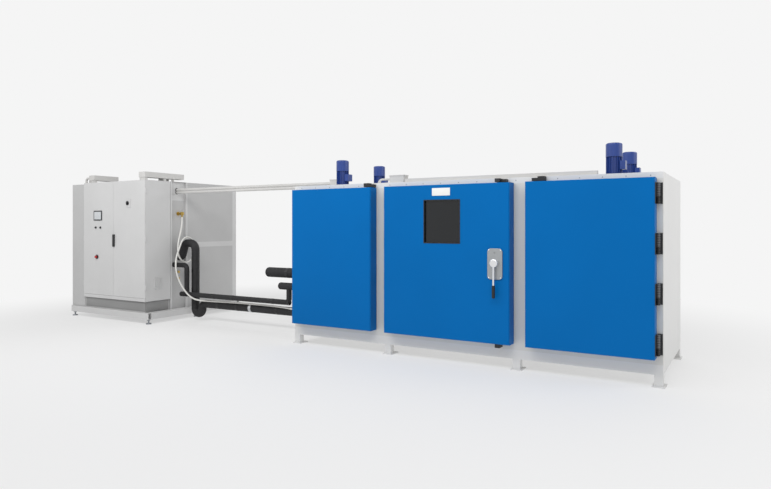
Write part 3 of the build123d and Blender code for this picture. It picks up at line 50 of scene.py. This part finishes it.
# Camera, as fitted to the photograph's frame of 771 x 489
FRAME_PX = (771, 489)
FOCAL_PX = 614.4
PRINCIPAL_PX = (394.94, 224.95)
CAMERA_AT = (2.9493, -7.0476, 1.536)
CAMERA_YAW = 30.28
SENSOR_MM = 36


def make_camera():
    """The photograph's view: level, with its vertical lines upright."""
    data = bpy.data.cameras.new("camera")
    data.sensor_width = SENSOR_MM
    data.lens = FOCAL_PX / FRAME_PX[0] * data.sensor_width
    data.shift_x = (FRAME_PX[0] / 2 - PRINCIPAL_PX[0]) / FRAME_PX[0]
    data.shift_y = (PRINCIPAL_PX[1] - FRAME_PX[1] / 2) / FRAME_PX[0]
    camera = bpy.data.objects.new("camera", data)
    camera.location = CAMERA_AT
    camera.rotation_euler = (radians(90), 0, radians(CAMERA_YAW))
    bpy.context.collection.objects.link(camera)
    bpy.context.scene.camera = camera


make_camera()

# Places that the CAD gives
machine_low, machine_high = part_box("cabinet_body")
roof_low, roof_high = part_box("roof_cap")
MACHINE_RIGHT = -5.190
PIPE_Y = -0.098
SMALL_PIPE_Y = -0.218
BIG_R = 0.0625
SMALL_R = 0.038
HEADER_R = 0.0725
BIG_RUN_Z = 0.278
SMALL_RUN_Z = 0.425
HEADER_Z = 0.837
BIG_RISER_X = -4.839
SMALL_RISER_X = -4.904
CONDUIT_R = 0.021
CONDUIT_Y = -0.155
CONDUIT_ZS = (2.066, 2.110)

# Hose: the route of the CAD's tube, in metres
HOSE_D = 0.025
HOSE_LOOP_R = 0.205
HOSE_LOOP_OUT = 0.148
HOSE_LOOP_Z = 1.133
HOSE_LOOP_YAW = 12.8
HOSE_LOOP_PITCH = 0.044
HOSE_LOOP_STEPS = 12
HOSE_EXIT = (-5.121, -0.128, 1.6637)
HOSE_DOWN = [HOSE_EXIT, (-5.121, -0.128, 1.566), (-5.097, -0.174, 1.436), (-5.060, -0.245, 1.312),
             (-5.032, -0.287, 1.198)]
HOSE_ALONG = [(-4.962, -0.352, 1.100), (-4.946, -0.400, 0.985), (-4.930, -0.418, 0.860),
              (-4.910, -0.405, 0.735), (-4.880, -0.372, 0.615), (-4.835, -0.330, 0.505),
              (-4.775, -0.290, 0.415), (-4.695, -0.245, 0.358), (-4.590, -0.196, 0.339),
              (-4.440, -0.163, 0.336), (-4.190, -0.148, 0.339), (-3.900, -0.141, 0.343),
              (-3.600, -0.139, 0.345), (-3.300, -0.141, 0.344), (-3.050, -0.148, 0.341),
              (-2.860, -0.163, 0.334), (-2.700, -0.178, 0.322), (-2.540, -0.188, 0.313),
              (-2.390, -0.190, 0.312), (-2.2453, -0.190, 0.312)]


def hose_loop():
    """The corners of the hose's one turn over the big pipe, shifting to the right as it goes round."""
    centre = Vector((MACHINE_RIGHT + HOSE_LOOP_OUT, PIPE_Y, HOSE_LOOP_Z))
    across = Vector((-sin(radians(HOSE_LOOP_YAW)), cos(radians(HOSE_LOOP_YAW)), 0))
    reach = HOSE_LOOP_R / cos(pi / HOSE_LOOP_STEPS)
    points = []
    for step in range(HOSE_LOOP_STEPS):
        angle = radians(180 + 360 / HOSE_LOOP_STEPS * (step + 0.5))
        shift = HOSE_LOOP_PITCH * (step / (HOSE_LOOP_STEPS - 1) - 0.5)
        points.append(centre + across * (reach * cos(angle)) + Vector((shift, 0, reach * sin(angle))))
    return points


# Materials
NOISE_SPAN = (0.3, 0.7)
COAT_ROUGHNESS = 0.12
BUMP_STRENGTH = 0.5
GLOSS_FINER = 6


def linear(code):
    """A colour written as #rrggbb, as the linear values that a shader takes."""
    values = [int(code[i:i + 2], 16) / 255 for i in (1, 3, 5)]
    return [v / 12.92 if v <= 0.04045 else ((v + 0.055) / 1.055) ** 2.4 for v in values] + [1.0]


def shaded(colour, factor):
    """The colour made lighter or darker."""
    return [min(1.0, v * factor) for v in colour[:3]] + [1.0]


def add_noise(tree, scale, detail, stretch=(1, 1, 1)):
    """Noise in the object's own metres, stretched along an axis where a grain runs."""
    place = tree.nodes.new("ShaderNodeTexCoord")
    mapping = tree.nodes.new("ShaderNodeMapping")
    mapping.inputs["Scale"].default_value = stretch
    noise = tree.nodes.new("ShaderNodeTexNoise")
    noise.inputs["Scale"].default_value = scale
    noise.inputs["Detail"].default_value = detail
    tree.links.new(place.outputs["Object"], mapping.inputs["Vector"])
    tree.links.new(mapping.outputs["Vector"], noise.inputs["Vector"])
    return noise.outputs["Fac"]


def add_range(tree, value, low, high):
    """The middle of a noise's values, spread over a range."""
    spread = tree.nodes.new("ShaderNodeMapRange")
    spread.inputs["From Min"].default_value = NOISE_SPAN[0]
    spread.inputs["From Max"].default_value = NOISE_SPAN[1]
    spread.inputs["To Min"].default_value = low
    spread.inputs["To Max"].default_value = high
    tree.links.new(value, spread.inputs["Value"])
    return spread.outputs["Result"]


def surface(name, code, roughness, metallic=0.0, patch=2.0, shade=0.05, grain=500.0, depth=0.0002,
            stretch=(1, 1, 1), rough_spread=0.06, coat=0.0, specular=0.5):
    """A finish with slow colour change, uneven gloss and a fine grain that bumps the surface."""
    material = bpy.data.materials.new(name)
    material.use_nodes = True
    tree = material.node_tree
    shader = tree.nodes["Principled BSDF"]
    shader.inputs["Metallic"].default_value = metallic
    shader.inputs["Specular IOR Level"].default_value = specular
    shader.inputs["Coat Weight"].default_value = coat
    shader.inputs["Coat Roughness"].default_value = COAT_ROUGHNESS
    colour = linear(code)
    mix = tree.nodes.new("ShaderNodeMix")
    mix.data_type = "RGBA"
    mix.inputs["A"].default_value = shaded(colour, 1 - shade)
    mix.inputs["B"].default_value = shaded(colour, 1 + shade)
    tree.links.new(add_range(tree, add_noise(tree, patch, 3.0), 0, 1), mix.inputs["Factor"])
    tree.links.new(mix.outputs["Result"], shader.inputs["Base Color"])
    gloss = add_noise(tree, patch * GLOSS_FINER, 4.0, stretch)
    tree.links.new(add_range(tree, gloss, roughness - rough_spread, roughness + rough_spread),
                   shader.inputs["Roughness"])
    bump = tree.nodes.new("ShaderNodeBump")
    bump.inputs["Distance"].default_value = depth
    bump.inputs["Strength"].default_value = BUMP_STRENGTH
    tree.links.new(add_noise(tree, grain, 2.0, stretch), bump.inputs["Height"])
    tree.links.new(bump.outputs["Normal"], shader.inputs["Normal"])
    return material


def glass_material(name):
    """Coated insulating glass: dark and glossy from outside."""
    material = surface(name, "#14171a", 0.06, patch=1.2, shade=0.2, grain=40, depth=0.00005,
                       rough_spread=0.02)
    shader = material.node_tree.nodes["Principled BSDF"]
    shader.inputs["IOR"].default_value = 1.5
    shader.inputs["Alpha"].default_value = 0.86
    return material


BRUSH = (1, 1, 60)
FINISHES = {
    "white_paint": surface("white_paint", "#e2e2e1", 0.42, patch=0.8, grain=700, shade=0.015,
                           rough_spread=0.03),
    "frame_paint": surface("frame_paint", "#dad9d5", 0.45, patch=0.8, grain=700, shade=0.02,
                           rough_spread=0.03),
    "blue_paint": surface("blue_paint", "#0069b2", 0.4, patch=0.7, shade=0.05, grain=650, depth=0.0001,
                          rough_spread=0.02, specular=0.08),
    "gasket": surface("gasket", "#15161a", 0.62, grain=260, shade=0.15),
    "stainless": surface("stainless", "#b9babc", 0.34, metallic=1.0, grain=60, stretch=BRUSH),
    "dark_metal": surface("dark_metal", "#25262a", 0.40, grain=320, shade=0.2),
    "rib_grey": surface("rib_grey", "#74767a", 0.42, metallic=0.6, grain=300, shade=0.15),
    "aluminium": surface("aluminium", "#c6c8cb", 0.38, metallic=1.0, grain=220),
    "insulation": surface("insulation", "#c9b36b", 0.95, grain=140, depth=0.003, shade=0.25),
    "motor_blue": surface("motor_blue", "#173a86", 0.34, grain=420, shade=0.12, coat=0.2),
    "lock_metal": surface("lock_metal", "#a3a6a8", 0.36, metallic=0.75, grain=55, stretch=BRUSH),
    "chrome": surface("chrome", "#e2e3e5", 0.10, metallic=1.0, grain=90, depth=0.00003, rough_spread=0.04),
    "black_plastic": surface("black_plastic", "#131417", 0.48, grain=900, depth=0.0003, shade=0.2),
    "glass": glass_material("glass"),
    "window_black": surface("window_black", "#1a1a1c", 0.30, grain=300, shade=0.2),
    "grey_paint": surface("grey_paint", "#cfcfcf", 0.46, grain=420, depth=0.0003, shade=0.025),
    "casing_paint": surface("casing_paint", "#bdbdbd", 0.46, grain=420, depth=0.0003, shade=0.03),
    # Darker grey for the plinth: painted shade of its recess under the cabinet
    "plinth_painted_shade": surface("plinth_painted_shade", "#8f8f8f", 0.5, grain=420, depth=0.0003, shade=0.05),
    "zinc": surface("zinc", "#8d9095", 0.38, metallic=0.9, patch=30, shade=0.2, grain=200),
    "black_paint": surface("black_paint", "#17181a", 0.40, grain=300, shade=0.2),
    "screen": surface("screen", "#c9cdd0", 0.22, grain=600, shade=0.05, coat=0.3),
    "bezel": surface("bezel", "#2b2d30", 0.35, grain=500, shade=0.1),
    "stop_red": surface("stop_red", "#b5140f", 0.28, grain=400, shade=0.08, coat=0.4),
    "gear_plastic": surface("gear_plastic", "#b9bbb8", 0.5, grain=500, shade=0.08),
    "conduit": surface("conduit", "#cdccca", 0.44, grain=260, shade=0.05),
    "foam": surface("foam", "#1b1b1d", 0.72, patch=5, grain=180, depth=0.0012, shade=0.3),
    "tape": surface("tape", "#0e0e10", 0.38, grain=120, shade=0.2),
    "brass": surface("brass", "#b69a55", 0.28, metallic=1.0, grain=150, shade=0.1),
    "lever_paint": surface("lever_paint", "#b9bcbf", 0.4, grain=300, shade=0.08),
    "hose": surface("hose", "#e4e3df", 0.46, grain=260, depth=0.0004, shade=0.05),
    "plate_white": surface("plate_white", "#eeeeec", 0.35, grain=500, shade=0.02),
}

NODE_FINISHES = {
    "white_paint": ("casing_panels", "roof_cap", "base_frame", "foot_plates"),
    "frame_paint": ("front_frame",),
    "blue_paint": ("door_left", "door_centre", "door_right"),
    "gasket": ("door_left_gasket", "door_centre_gasket", "door_right_gasket"),
    "stainless": ("door_left_liner", "door_centre_liner", "door_right_liner", "zone_liners", "air_baffles",
                  "specimen_rack", "heater_bank", "damper_cold", "damper_hot", "lock_bolt_top",
                  "lock_bolt_bottom"),
    "dark_metal": ("door_left_hinges", "door_centre_hinges", "door_right_hinges", "frame_hardware"),
    "aluminium": ("evaporator_coil", "fan_rotor_left_front", "fan_rotor_left_rear", "fan_rotor_right_front",
                  "fan_rotor_right_rear"),
    "insulation": ("insulation",),
    "motor_blue": ("fan_motors", "motor_cowls"),
    "lock_metal": ("lock_plate",),
    "chrome": ("door_lever",),
    "black_plastic": ("lever_grip", "cabinet_handle", "selector_switch", "damper_actuators", "door_switches"),
    "glass": ("window_panes",),
    "window_black": ("window_frame",),
    "grey_paint": ("cabinet_body", "cabinet_door_left", "cabinet_door_right", "machine_frame"),
    "casing_paint": ("machine_panels",),
    "zinc": ("levelling_feet",),
    "black_paint": ("refrigeration_set",),
    "bezel": ("operator_panel", "button_left", "button_right"),
    "stop_red": ("emergency_stop",),
    "gear_plastic": ("switchgear",),
    "conduit": ("cable_runs",),
    "foam": ("refrigerant_pipes",),
    "brass": ("shutoff_valve",),
    "lever_paint": ("valve_lever",),
}
for finish, node_names in NODE_FINISHES.items():
    for node_name in node_names:
        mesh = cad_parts[node_name].data
        mesh.materials.clear()
        mesh.materials.append(FINISHES[finish])


# Mesh helpers
BAND_EDGE = 0.3
SHARP_ANGLE = radians(35)


def add_part(bm, part):
    """Puts one finished part into a piece's mesh."""
    mesh = bpy.data.meshes.new("part")
    part.to_mesh(mesh)
    part.free()
    bm.from_mesh(mesh)
    bpy.data.meshes.remove(mesh)


def add_box(bm, low, high, radius=0.0, segments=2):
    """A box between two corners, its edges rounded."""
    low, high = Vector(low), Vector(high)
    part = bmesh.new()
    bmesh.ops.create_cube(part, size=1)
    for vert in part.verts:
        vert.co = Vector([(low[i] + high[i]) / 2 + vert.co[i] * (high[i] - low[i]) for i in range(3)])
    if radius:
        bmesh.ops.bevel(part, geom=part.edges[:], offset=radius, segments=segments, profile=0.5,
                        affect="EDGES")
    add_part(bm, part)


def make_rings(part, origin, axis, profile, segments):
    """Rings of points round an axis, one for each (distance along the axis, radius)."""
    turn = axis.to_track_quat("Z", "Y").to_matrix()
    rings = []
    for along, radius in profile:
        ring = []
        for i in range(segments):
            angle = 2 * pi * i / segments
            place = Vector((radius * cos(angle), radius * sin(angle), along))
            ring.append(part.verts.new(Vector(origin) + turn @ place))
        rings.append(ring)
    return rings


def add_lathe(bm, origin, axis, profile, segments=24):
    """A round part: rings at (distance along the axis, radius), closed at both ends."""
    part = bmesh.new()
    rings = make_rings(part, origin, axis, profile, segments)
    for near, far in zip(rings, rings[1:]):
        for i in range(segments):
            j = (i + 1) % segments
            part.faces.new((near[i], near[j], far[j], far[i]))
    part.faces.new(list(reversed(rings[0])))
    part.faces.new(rings[-1])
    add_part(bm, part)


def add_band(bm, origin, axis, inner, outer, width, segments=32):
    """A ring with rounded shoulders around a pipe: open in the middle."""
    edge = min(width, outer - inner) * BAND_EDGE
    section = [(-width / 2, inner), (-width / 2, outer - edge), (-width / 2 + edge, outer),
               (width / 2 - edge, outer), (width / 2, outer - edge), (width / 2, inner)]
    part = bmesh.new()
    rings = make_rings(part, origin, axis, section, segments)
    for k, near in enumerate(rings):
        far = rings[(k + 1) % len(rings)]
        for i in range(segments):
            j = (i + 1) % segments
            part.faces.new((near[i], near[j], far[j], far[i]))
    bmesh.ops.recalc_face_normals(part, faces=part.faces[:])
    add_part(bm, part)


def add_screw(bm, origin, axis, radius, height):
    """A domed screw head with a hexagon recess."""
    add_lathe(bm, origin, axis, [(0, radius), (height * 0.55, radius), (height * 0.9, radius * 0.78),
                                 (height, radius * 0.5)], 16)
    tip = Vector(origin) + axis * height
    add_lathe(bm, tip - axis * height * 0.1, axis, [(0, radius * 0.36), (height * 0.16, radius * 0.3)], 6)


def finish_piece(name, bm, body, finish):
    """Makes the piece, shades it, and lets it ride on its body."""
    mesh = bpy.data.meshes.new(name)
    bm.to_mesh(mesh)
    bm.free()
    mesh.shade_smooth()
    mesh.set_sharp_from_angle(angle=SHARP_ANGLE)
    mesh.materials.append(FINISHES[finish])
    piece = bpy.data.objects.new(name, mesh)
    bpy.context.collection.objects.link(piece)
    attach(piece, body)
    return piece


def tube(name, points, radius, body, finish, order=3):
    """A small fixed conduit or lead: a smooth line with a round section."""
    curve = bpy.data.curves.new(name, "CURVE")
    curve.dimensions = "3D"
    curve.bevel_depth = radius
    curve.bevel_resolution = 4
    curve.resolution_u = 8
    curve.use_fill_caps = True
    spline = curve.splines.new("NURBS")
    spline.points.add(len(points) - 1)
    for point, place in zip(spline.points, points):
        point.co = (*place, 1)
    spline.order_u = order
    spline.use_endpoint_u = True
    curve.materials.append(FINISHES[finish])
    piece = bpy.data.objects.new(name, curve)
    bpy.context.collection.objects.link(piece)
    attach(piece, body)
    return piece


# The hose between the valve and the chamber, drawn as a tube in place of the CAD's hose
hose = tube("supply_hose", HOSE_DOWN + hose_loop() + HOSE_ALONG, HOSE_D / 2, ROOT, "hose")
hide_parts("hose")


# Small parts that the frame leaves to the looks
NAME_PLATE = ((-0.141, -0.9405, 1.86), (0.079, -0.9352, 1.945))
NAME_PLATE_ROUND = 0.0015
LOCK_SCREW_IN = 0.018
LOCK_SCREW_R = 0.007
LOCK_SCREW_H = 0.004


def add_screws(bm, places, axis, radius, height):
    for place in places:
        add_screw(bm, place, axis, radius, height)


def door_details():
    """The bare white plate on the middle door, and the lock plate's four screws."""
    bm = bmesh.new()
    add_box(bm, *NAME_PLATE, NAME_PLATE_ROUND)
    finish_piece("name_plate", bm, "centre_door", "plate_white")
    low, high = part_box("lock_plate")
    bm = bmesh.new()
    places = [(x, low[1], z) for x in (low[0] + LOCK_SCREW_IN, high[0] - LOCK_SCREW_IN)
              for z in (low[2] + LOCK_SCREW_IN, high[2] - LOCK_SCREW_IN)]
    add_screws(bm, places, -Y, LOCK_SCREW_R, LOCK_SCREW_H)
    finish_piece("lock_plate_screws", bm, "centre_door", "chrome")


HINGE_PINS = {"left_door": -2.169, "centre_door": -0.794, "right_door": 2.179}
HINGE_PIN_Y = -0.845
HINGE_ZS = (0.41, 0.885, 1.36, 1.835)
HINGE_RING_IN = 0.0152
HINGE_RING_OUT = 0.0185
HINGE_RING_W = 0.009
HINGE_RING_SIDES = 24
RIB_ZS = [-0.020 + 0.016 * i for i in range(8)]
CAP_ZS = [-0.092, -0.068, -0.044]


def hinge_details():
    """Grey ribs round each hinge's upper knuckle and black rings round its lower one."""
    for door, pin_x in HINGE_PINS.items():
        for name, body, finish, rings in (("hinge_ribs", door, "rib_grey", RIB_ZS),
                                          ("hinge_caps", ROOT, "black_plastic", CAP_ZS)):
            bm = bmesh.new()
            for hinge_z in HINGE_ZS:
                for ring_z in rings:
                    add_band(bm, (pin_x, HINGE_PIN_Y, hinge_z + ring_z), Z, HINGE_RING_IN, HINGE_RING_OUT,
                             HINGE_RING_W, HINGE_RING_SIDES)
            finish_piece(f"{door}_{name}", bm, body, finish)


TAPE_T = 0.002
BIG_TAPE_W = 0.045
SMALL_TAPE_W = 0.040
HEADER_TAPE_W = 0.05
RUN_TAPE_XS = (-4.3, -3.9, -3.1, -2.8)
BIG_TAPE_ZS = (0.5, 0.8, 1.0)
SMALL_TAPE_ZS = (0.5, 0.78)
HEADER_TAPE_X = -2.9
CLAMP_X = -3.62
CLAMP_T = 0.004
CLAMP_W = 0.05


def pipe_details():
    """Tape round the insulated pipes, and the light clamp on the lower run."""
    bm = bmesh.new()
    for x in RUN_TAPE_XS:
        add_band(bm, (x, PIPE_Y, BIG_RUN_Z), X, BIG_R, BIG_R + TAPE_T, BIG_TAPE_W)
        add_band(bm, (x, SMALL_PIPE_Y, SMALL_RUN_Z), X, SMALL_R, SMALL_R + TAPE_T, SMALL_TAPE_W)
    for z in BIG_TAPE_ZS:
        add_band(bm, (BIG_RISER_X, PIPE_Y, z), Z, BIG_R, BIG_R + TAPE_T, BIG_TAPE_W)
    for z in SMALL_TAPE_ZS:
        add_band(bm, (SMALL_RISER_X, SMALL_PIPE_Y, z), Z, SMALL_R, SMALL_R + TAPE_T, SMALL_TAPE_W)
    add_band(bm, (HEADER_TAPE_X, PIPE_Y, HEADER_Z), X, HEADER_R, HEADER_R + TAPE_T, HEADER_TAPE_W)
    finish_piece("pipe_tape", bm, ROOT, "tape")
    bm = bmesh.new()
    add_band(bm, (CLAMP_X, PIPE_Y, BIG_RUN_Z), X, BIG_R, BIG_R + CLAMP_T, CLAMP_W)
    finish_piece("pipe_clamp", bm, ROOT, "aluminium")


SCREEN_AT = (-6.360, -0.794, 1.689)
SCREEN_HALF_W = 0.088
SCREEN_HALF_H = 0.062
SCREEN_OUT = 0.0015
SCREEN_IN = 0.001
SCREEN_ROUND = 0.0006
COVER_T = 0.0015
COVER_ROUND = 0.0004
PLINTH_IN = 0.026
PLINTH_Z = (0.182, 0.332)
PLINTH_LEFT_GAP = 0.01
PLINTH_CORNER_GAP = 0.006
PLINTH_ROUND = 0.0005


def cabinet_details():
    """The light screen in its dark border, and dark sheets over the recessed plinth as painted shade."""
    x, y, z = SCREEN_AT
    bm = bmesh.new()
    add_box(bm, (x - SCREEN_HALF_W, y - SCREEN_OUT, z - SCREEN_HALF_H),
            (x + SCREEN_HALF_W, y + SCREEN_IN, z + SCREEN_HALF_H), SCREEN_ROUND)
    finish_piece("screen", bm, "cabinet_left", "screen")
    left = machine_low[0] + PLINTH_IN
    right = machine_high[0] - PLINTH_IN
    front = machine_low[1] + PLINTH_IN
    rear = machine_high[1] - PLINTH_IN
    # Dark grey sheets over the recessed plinth's front and side: painted shade, not real covers
    bm = bmesh.new()
    add_box(bm, (left + PLINTH_LEFT_GAP, front - COVER_T, PLINTH_Z[0]),
            (right - PLINTH_CORNER_GAP, front, PLINTH_Z[1]), PLINTH_ROUND)
    add_box(bm, (right, front + PLINTH_CORNER_GAP, PLINTH_Z[0]), (right + COVER_T, rear, PLINTH_Z[1]),
            PLINTH_ROUND)
    finish_piece("plinth_shade_sheets", bm, ROOT, "plinth_painted_shade")


BAY_FACE = -5.217
BAY_REAR = 0.044
BAY_COVER_Y = (-0.268, 0.013)
BAY_COVER_Z = (2.031, 2.236)
MACHINE_TOP = 2.238
GROMMET_R = 0.0285
GROMMET_W = 0.008
GROMMET_OUT = 0.003


def bay_details():
    """Thin sheets that close the service bay's top, and grommets where the conduits pass out."""
    bm = bmesh.new()
    add_box(bm, (BAY_FACE - COVER_T, BAY_COVER_Y[0], BAY_COVER_Z[0]),
            (BAY_FACE, BAY_COVER_Y[1], BAY_COVER_Z[1]), COVER_ROUND)
    finish_piece("bay_cover", bm, ROOT, "grey_paint")
    bm = bmesh.new()
    add_box(bm, (machine_low[0] + COVER_T, machine_high[1] - COVER_T, MACHINE_TOP),
            (MACHINE_RIGHT, BAY_REAR, MACHINE_TOP + COVER_T), COVER_ROUND)
    finish_piece("bay_roof_cover", bm, ROOT, "casing_paint")
    bm = bmesh.new()
    for z in CONDUIT_ZS:
        add_band(bm, (BAY_FACE + GROMMET_OUT, CONDUIT_Y, z), X, CONDUIT_R, GROMMET_R, GROMMET_W)
    finish_piece("conduit_grommets", bm, ROOT, "black_plastic")


MOTOR_XS = (-1.684, 1.711)
MOTOR_YS = (-0.465, 0.445)
FOOT_TOP = 2.047
FOOT_SCREW_OUT = 0.088
FOOT_SCREW_R = 0.009
FOOT_SCREW_H = 0.007


def motor_details():
    """The four screws of each motor's foot."""
    bm = bmesh.new()
    for x in MOTOR_XS:
        for y in MOTOR_YS:
            places = [(x + i * FOOT_SCREW_OUT, y + j * FOOT_SCREW_OUT, FOOT_TOP)
                      for i in (-1, 1) for j in (-1, 1)]
            add_screws(bm, places, Z, FOOT_SCREW_R, FOOT_SCREW_H)
    finish_piece("motor_foot_screws", bm, ROOT, "zinc")


ROOF_SCREWS = 20
ROOF_SCREW_DROP = 0.03
ROOF_SCREW_R = 0.005
ROOF_SCREW_H = 0.003


def roof_details():
    """A row of screws along the roof cap's front and another along its rear."""
    bm = bmesh.new()
    z = roof_high[2] - ROOF_SCREW_DROP
    for i in range(ROOF_SCREWS):
        x = roof_low[0] + (roof_high[0] - roof_low[0]) * (i + 0.5) / ROOF_SCREWS
        add_screw(bm, (x, roof_low[1], z), -Y, ROOF_SCREW_R, ROOF_SCREW_H)
        add_screw(bm, (x, roof_high[1], z), Y, ROOF_SCREW_R, ROOF_SCREW_H)
    finish_piece("roof_cap_screws", bm, ROOT, "zinc")


door_details()
hinge_details()
pipe_details()
cabinet_details()
bay_details()
motor_details()
roof_details()


BACKDROP = "#f5f5f5"
FLOOR_COLOUR = "#f0f0f0"
FLOOR_ROUGHNESS = 0.85
FLOOR_R = 60
FLOOR_SIDES = 64
FLOOR_CENTRE = (-2.3, 0, 0)
FLOOR_FADE = (3.5, 8.0)
FLOOR_GLOW = 0.45
WORLD_STRENGTH = 0.42
# Name, place, what it points at, size in metres and power in watts
LAMPS = (("key", (0.0, -4.6, 5.2), (0.0, -0.6, 1.5), (8, 2), 190),
         ("machine_light", (-5.6, -4.6, 5.0), (-5.9, -0.6, 1.4), (4, 2), 90),
         ("side", (7.5, 1.0, 4.6), (2.2, 0.0, 1.4), (4, 3), 110),
         ("back", (-2.0, 7.0, 5.5), (-2.0, 0.0, 1.2), (9, 3), 160))


def make_floor():
    """A pale floor that keeps the object's shadow and fades into the backdrop."""
    floor_mesh = bpy.data.meshes.new("floor")
    bm = bmesh.new()
    bmesh.ops.create_circle(bm, cap_ends=True, segments=FLOOR_SIDES, radius=FLOOR_R)
    bm.to_mesh(floor_mesh)
    bm.free()
    floor = bpy.data.objects.new("floor", floor_mesh)
    floor.location = FLOOR_CENTRE
    bpy.context.collection.objects.link(floor)
    material = bpy.data.materials.new("floor")
    material.use_nodes = True
    tree = material.node_tree
    lit = tree.nodes["Principled BSDF"]
    lit.inputs["Base Color"].default_value = linear(FLOOR_COLOUR)
    lit.inputs["Roughness"].default_value = FLOOR_ROUGHNESS
    far = tree.nodes.new("ShaderNodeEmission")
    far.inputs["Color"].default_value = linear(BACKDROP)
    place = tree.nodes.new("ShaderNodeTexCoord")
    length = tree.nodes.new("ShaderNodeVectorMath")
    length.operation = "LENGTH"
    fade = tree.nodes.new("ShaderNodeMapRange")
    fade.interpolation_type = "SMOOTHSTEP"
    fade.inputs["From Min"].default_value = FLOOR_FADE[0]
    fade.inputs["From Max"].default_value = FLOOR_FADE[1]
    fade.inputs["To Min"].default_value = FLOOR_GLOW
    blend = tree.nodes.new("ShaderNodeMixShader")
    tree.links.new(place.outputs["Object"], length.inputs[0])
    tree.links.new(length.outputs["Value"], fade.inputs["Value"])
    tree.links.new(fade.outputs["Result"], blend.inputs["Fac"])
    tree.links.new(lit.outputs["BSDF"], blend.inputs[1])
    tree.links.new(far.outputs["Emission"], blend.inputs[2])
    tree.links.new(blend.outputs["Shader"], tree.nodes["Material Output"].inputs["Surface"])
    floor_mesh.materials.append(material)


def make_lamps():
    """Soft lights in front, beside and behind."""
    for name, place, target, size, power in LAMPS:
        data = bpy.data.lights.new(name, "AREA")
        data.shape = "RECTANGLE"
        data.size, data.size_y = size
        data.energy = power
        lamp = bpy.data.objects.new(name, data)
        lamp.location = place
        lamp.rotation_euler = (Vector(place) - Vector(target)).to_track_quat("Z", "Y").to_euler()
        bpy.context.collection.objects.link(lamp)


def make_world():
    """A plain light all round, and the backdrop's colour where the camera or a reflection sees it."""
    world = bpy.data.worlds.new("world")
    bpy.context.scene.world = world
    world.use_nodes = True
    tree = world.node_tree
    ambient = tree.nodes["Background"]
    ambient.inputs["Color"].default_value = linear(BACKDROP)
    ambient.inputs["Strength"].default_value = WORLD_STRENGTH
    shown = tree.nodes.new("ShaderNodeBackground")
    shown.inputs["Color"].default_value = linear(BACKDROP)
    path = tree.nodes.new("ShaderNodeLightPath")
    seen = tree.nodes.new("ShaderNodeMath")
    seen.operation = "MAXIMUM"
    through = tree.nodes.new("ShaderNodeMath")
    through.operation = "MAXIMUM"
    blend = tree.nodes.new("ShaderNodeMixShader")
    tree.links.new(path.outputs["Is Camera Ray"], seen.inputs[0])
    tree.links.new(path.outputs["Is Glossy Ray"], seen.inputs[1])
    tree.links.new(seen.outputs["Value"], through.inputs[0])
    tree.links.new(path.outputs["Is Transmission Ray"], through.inputs[1])
    tree.links.new(through.outputs["Value"], blend.inputs["Fac"])
    tree.links.new(ambient.outputs["Background"], blend.inputs[1])
    tree.links.new(shown.outputs["Background"], blend.inputs[2])
    tree.links.new(blend.outputs["Shader"], tree.nodes["World Output"].inputs["Surface"])


make_floor()
make_lamps()
make_world()
bpy.context.scene.view_settings.view_transform = "Standard"
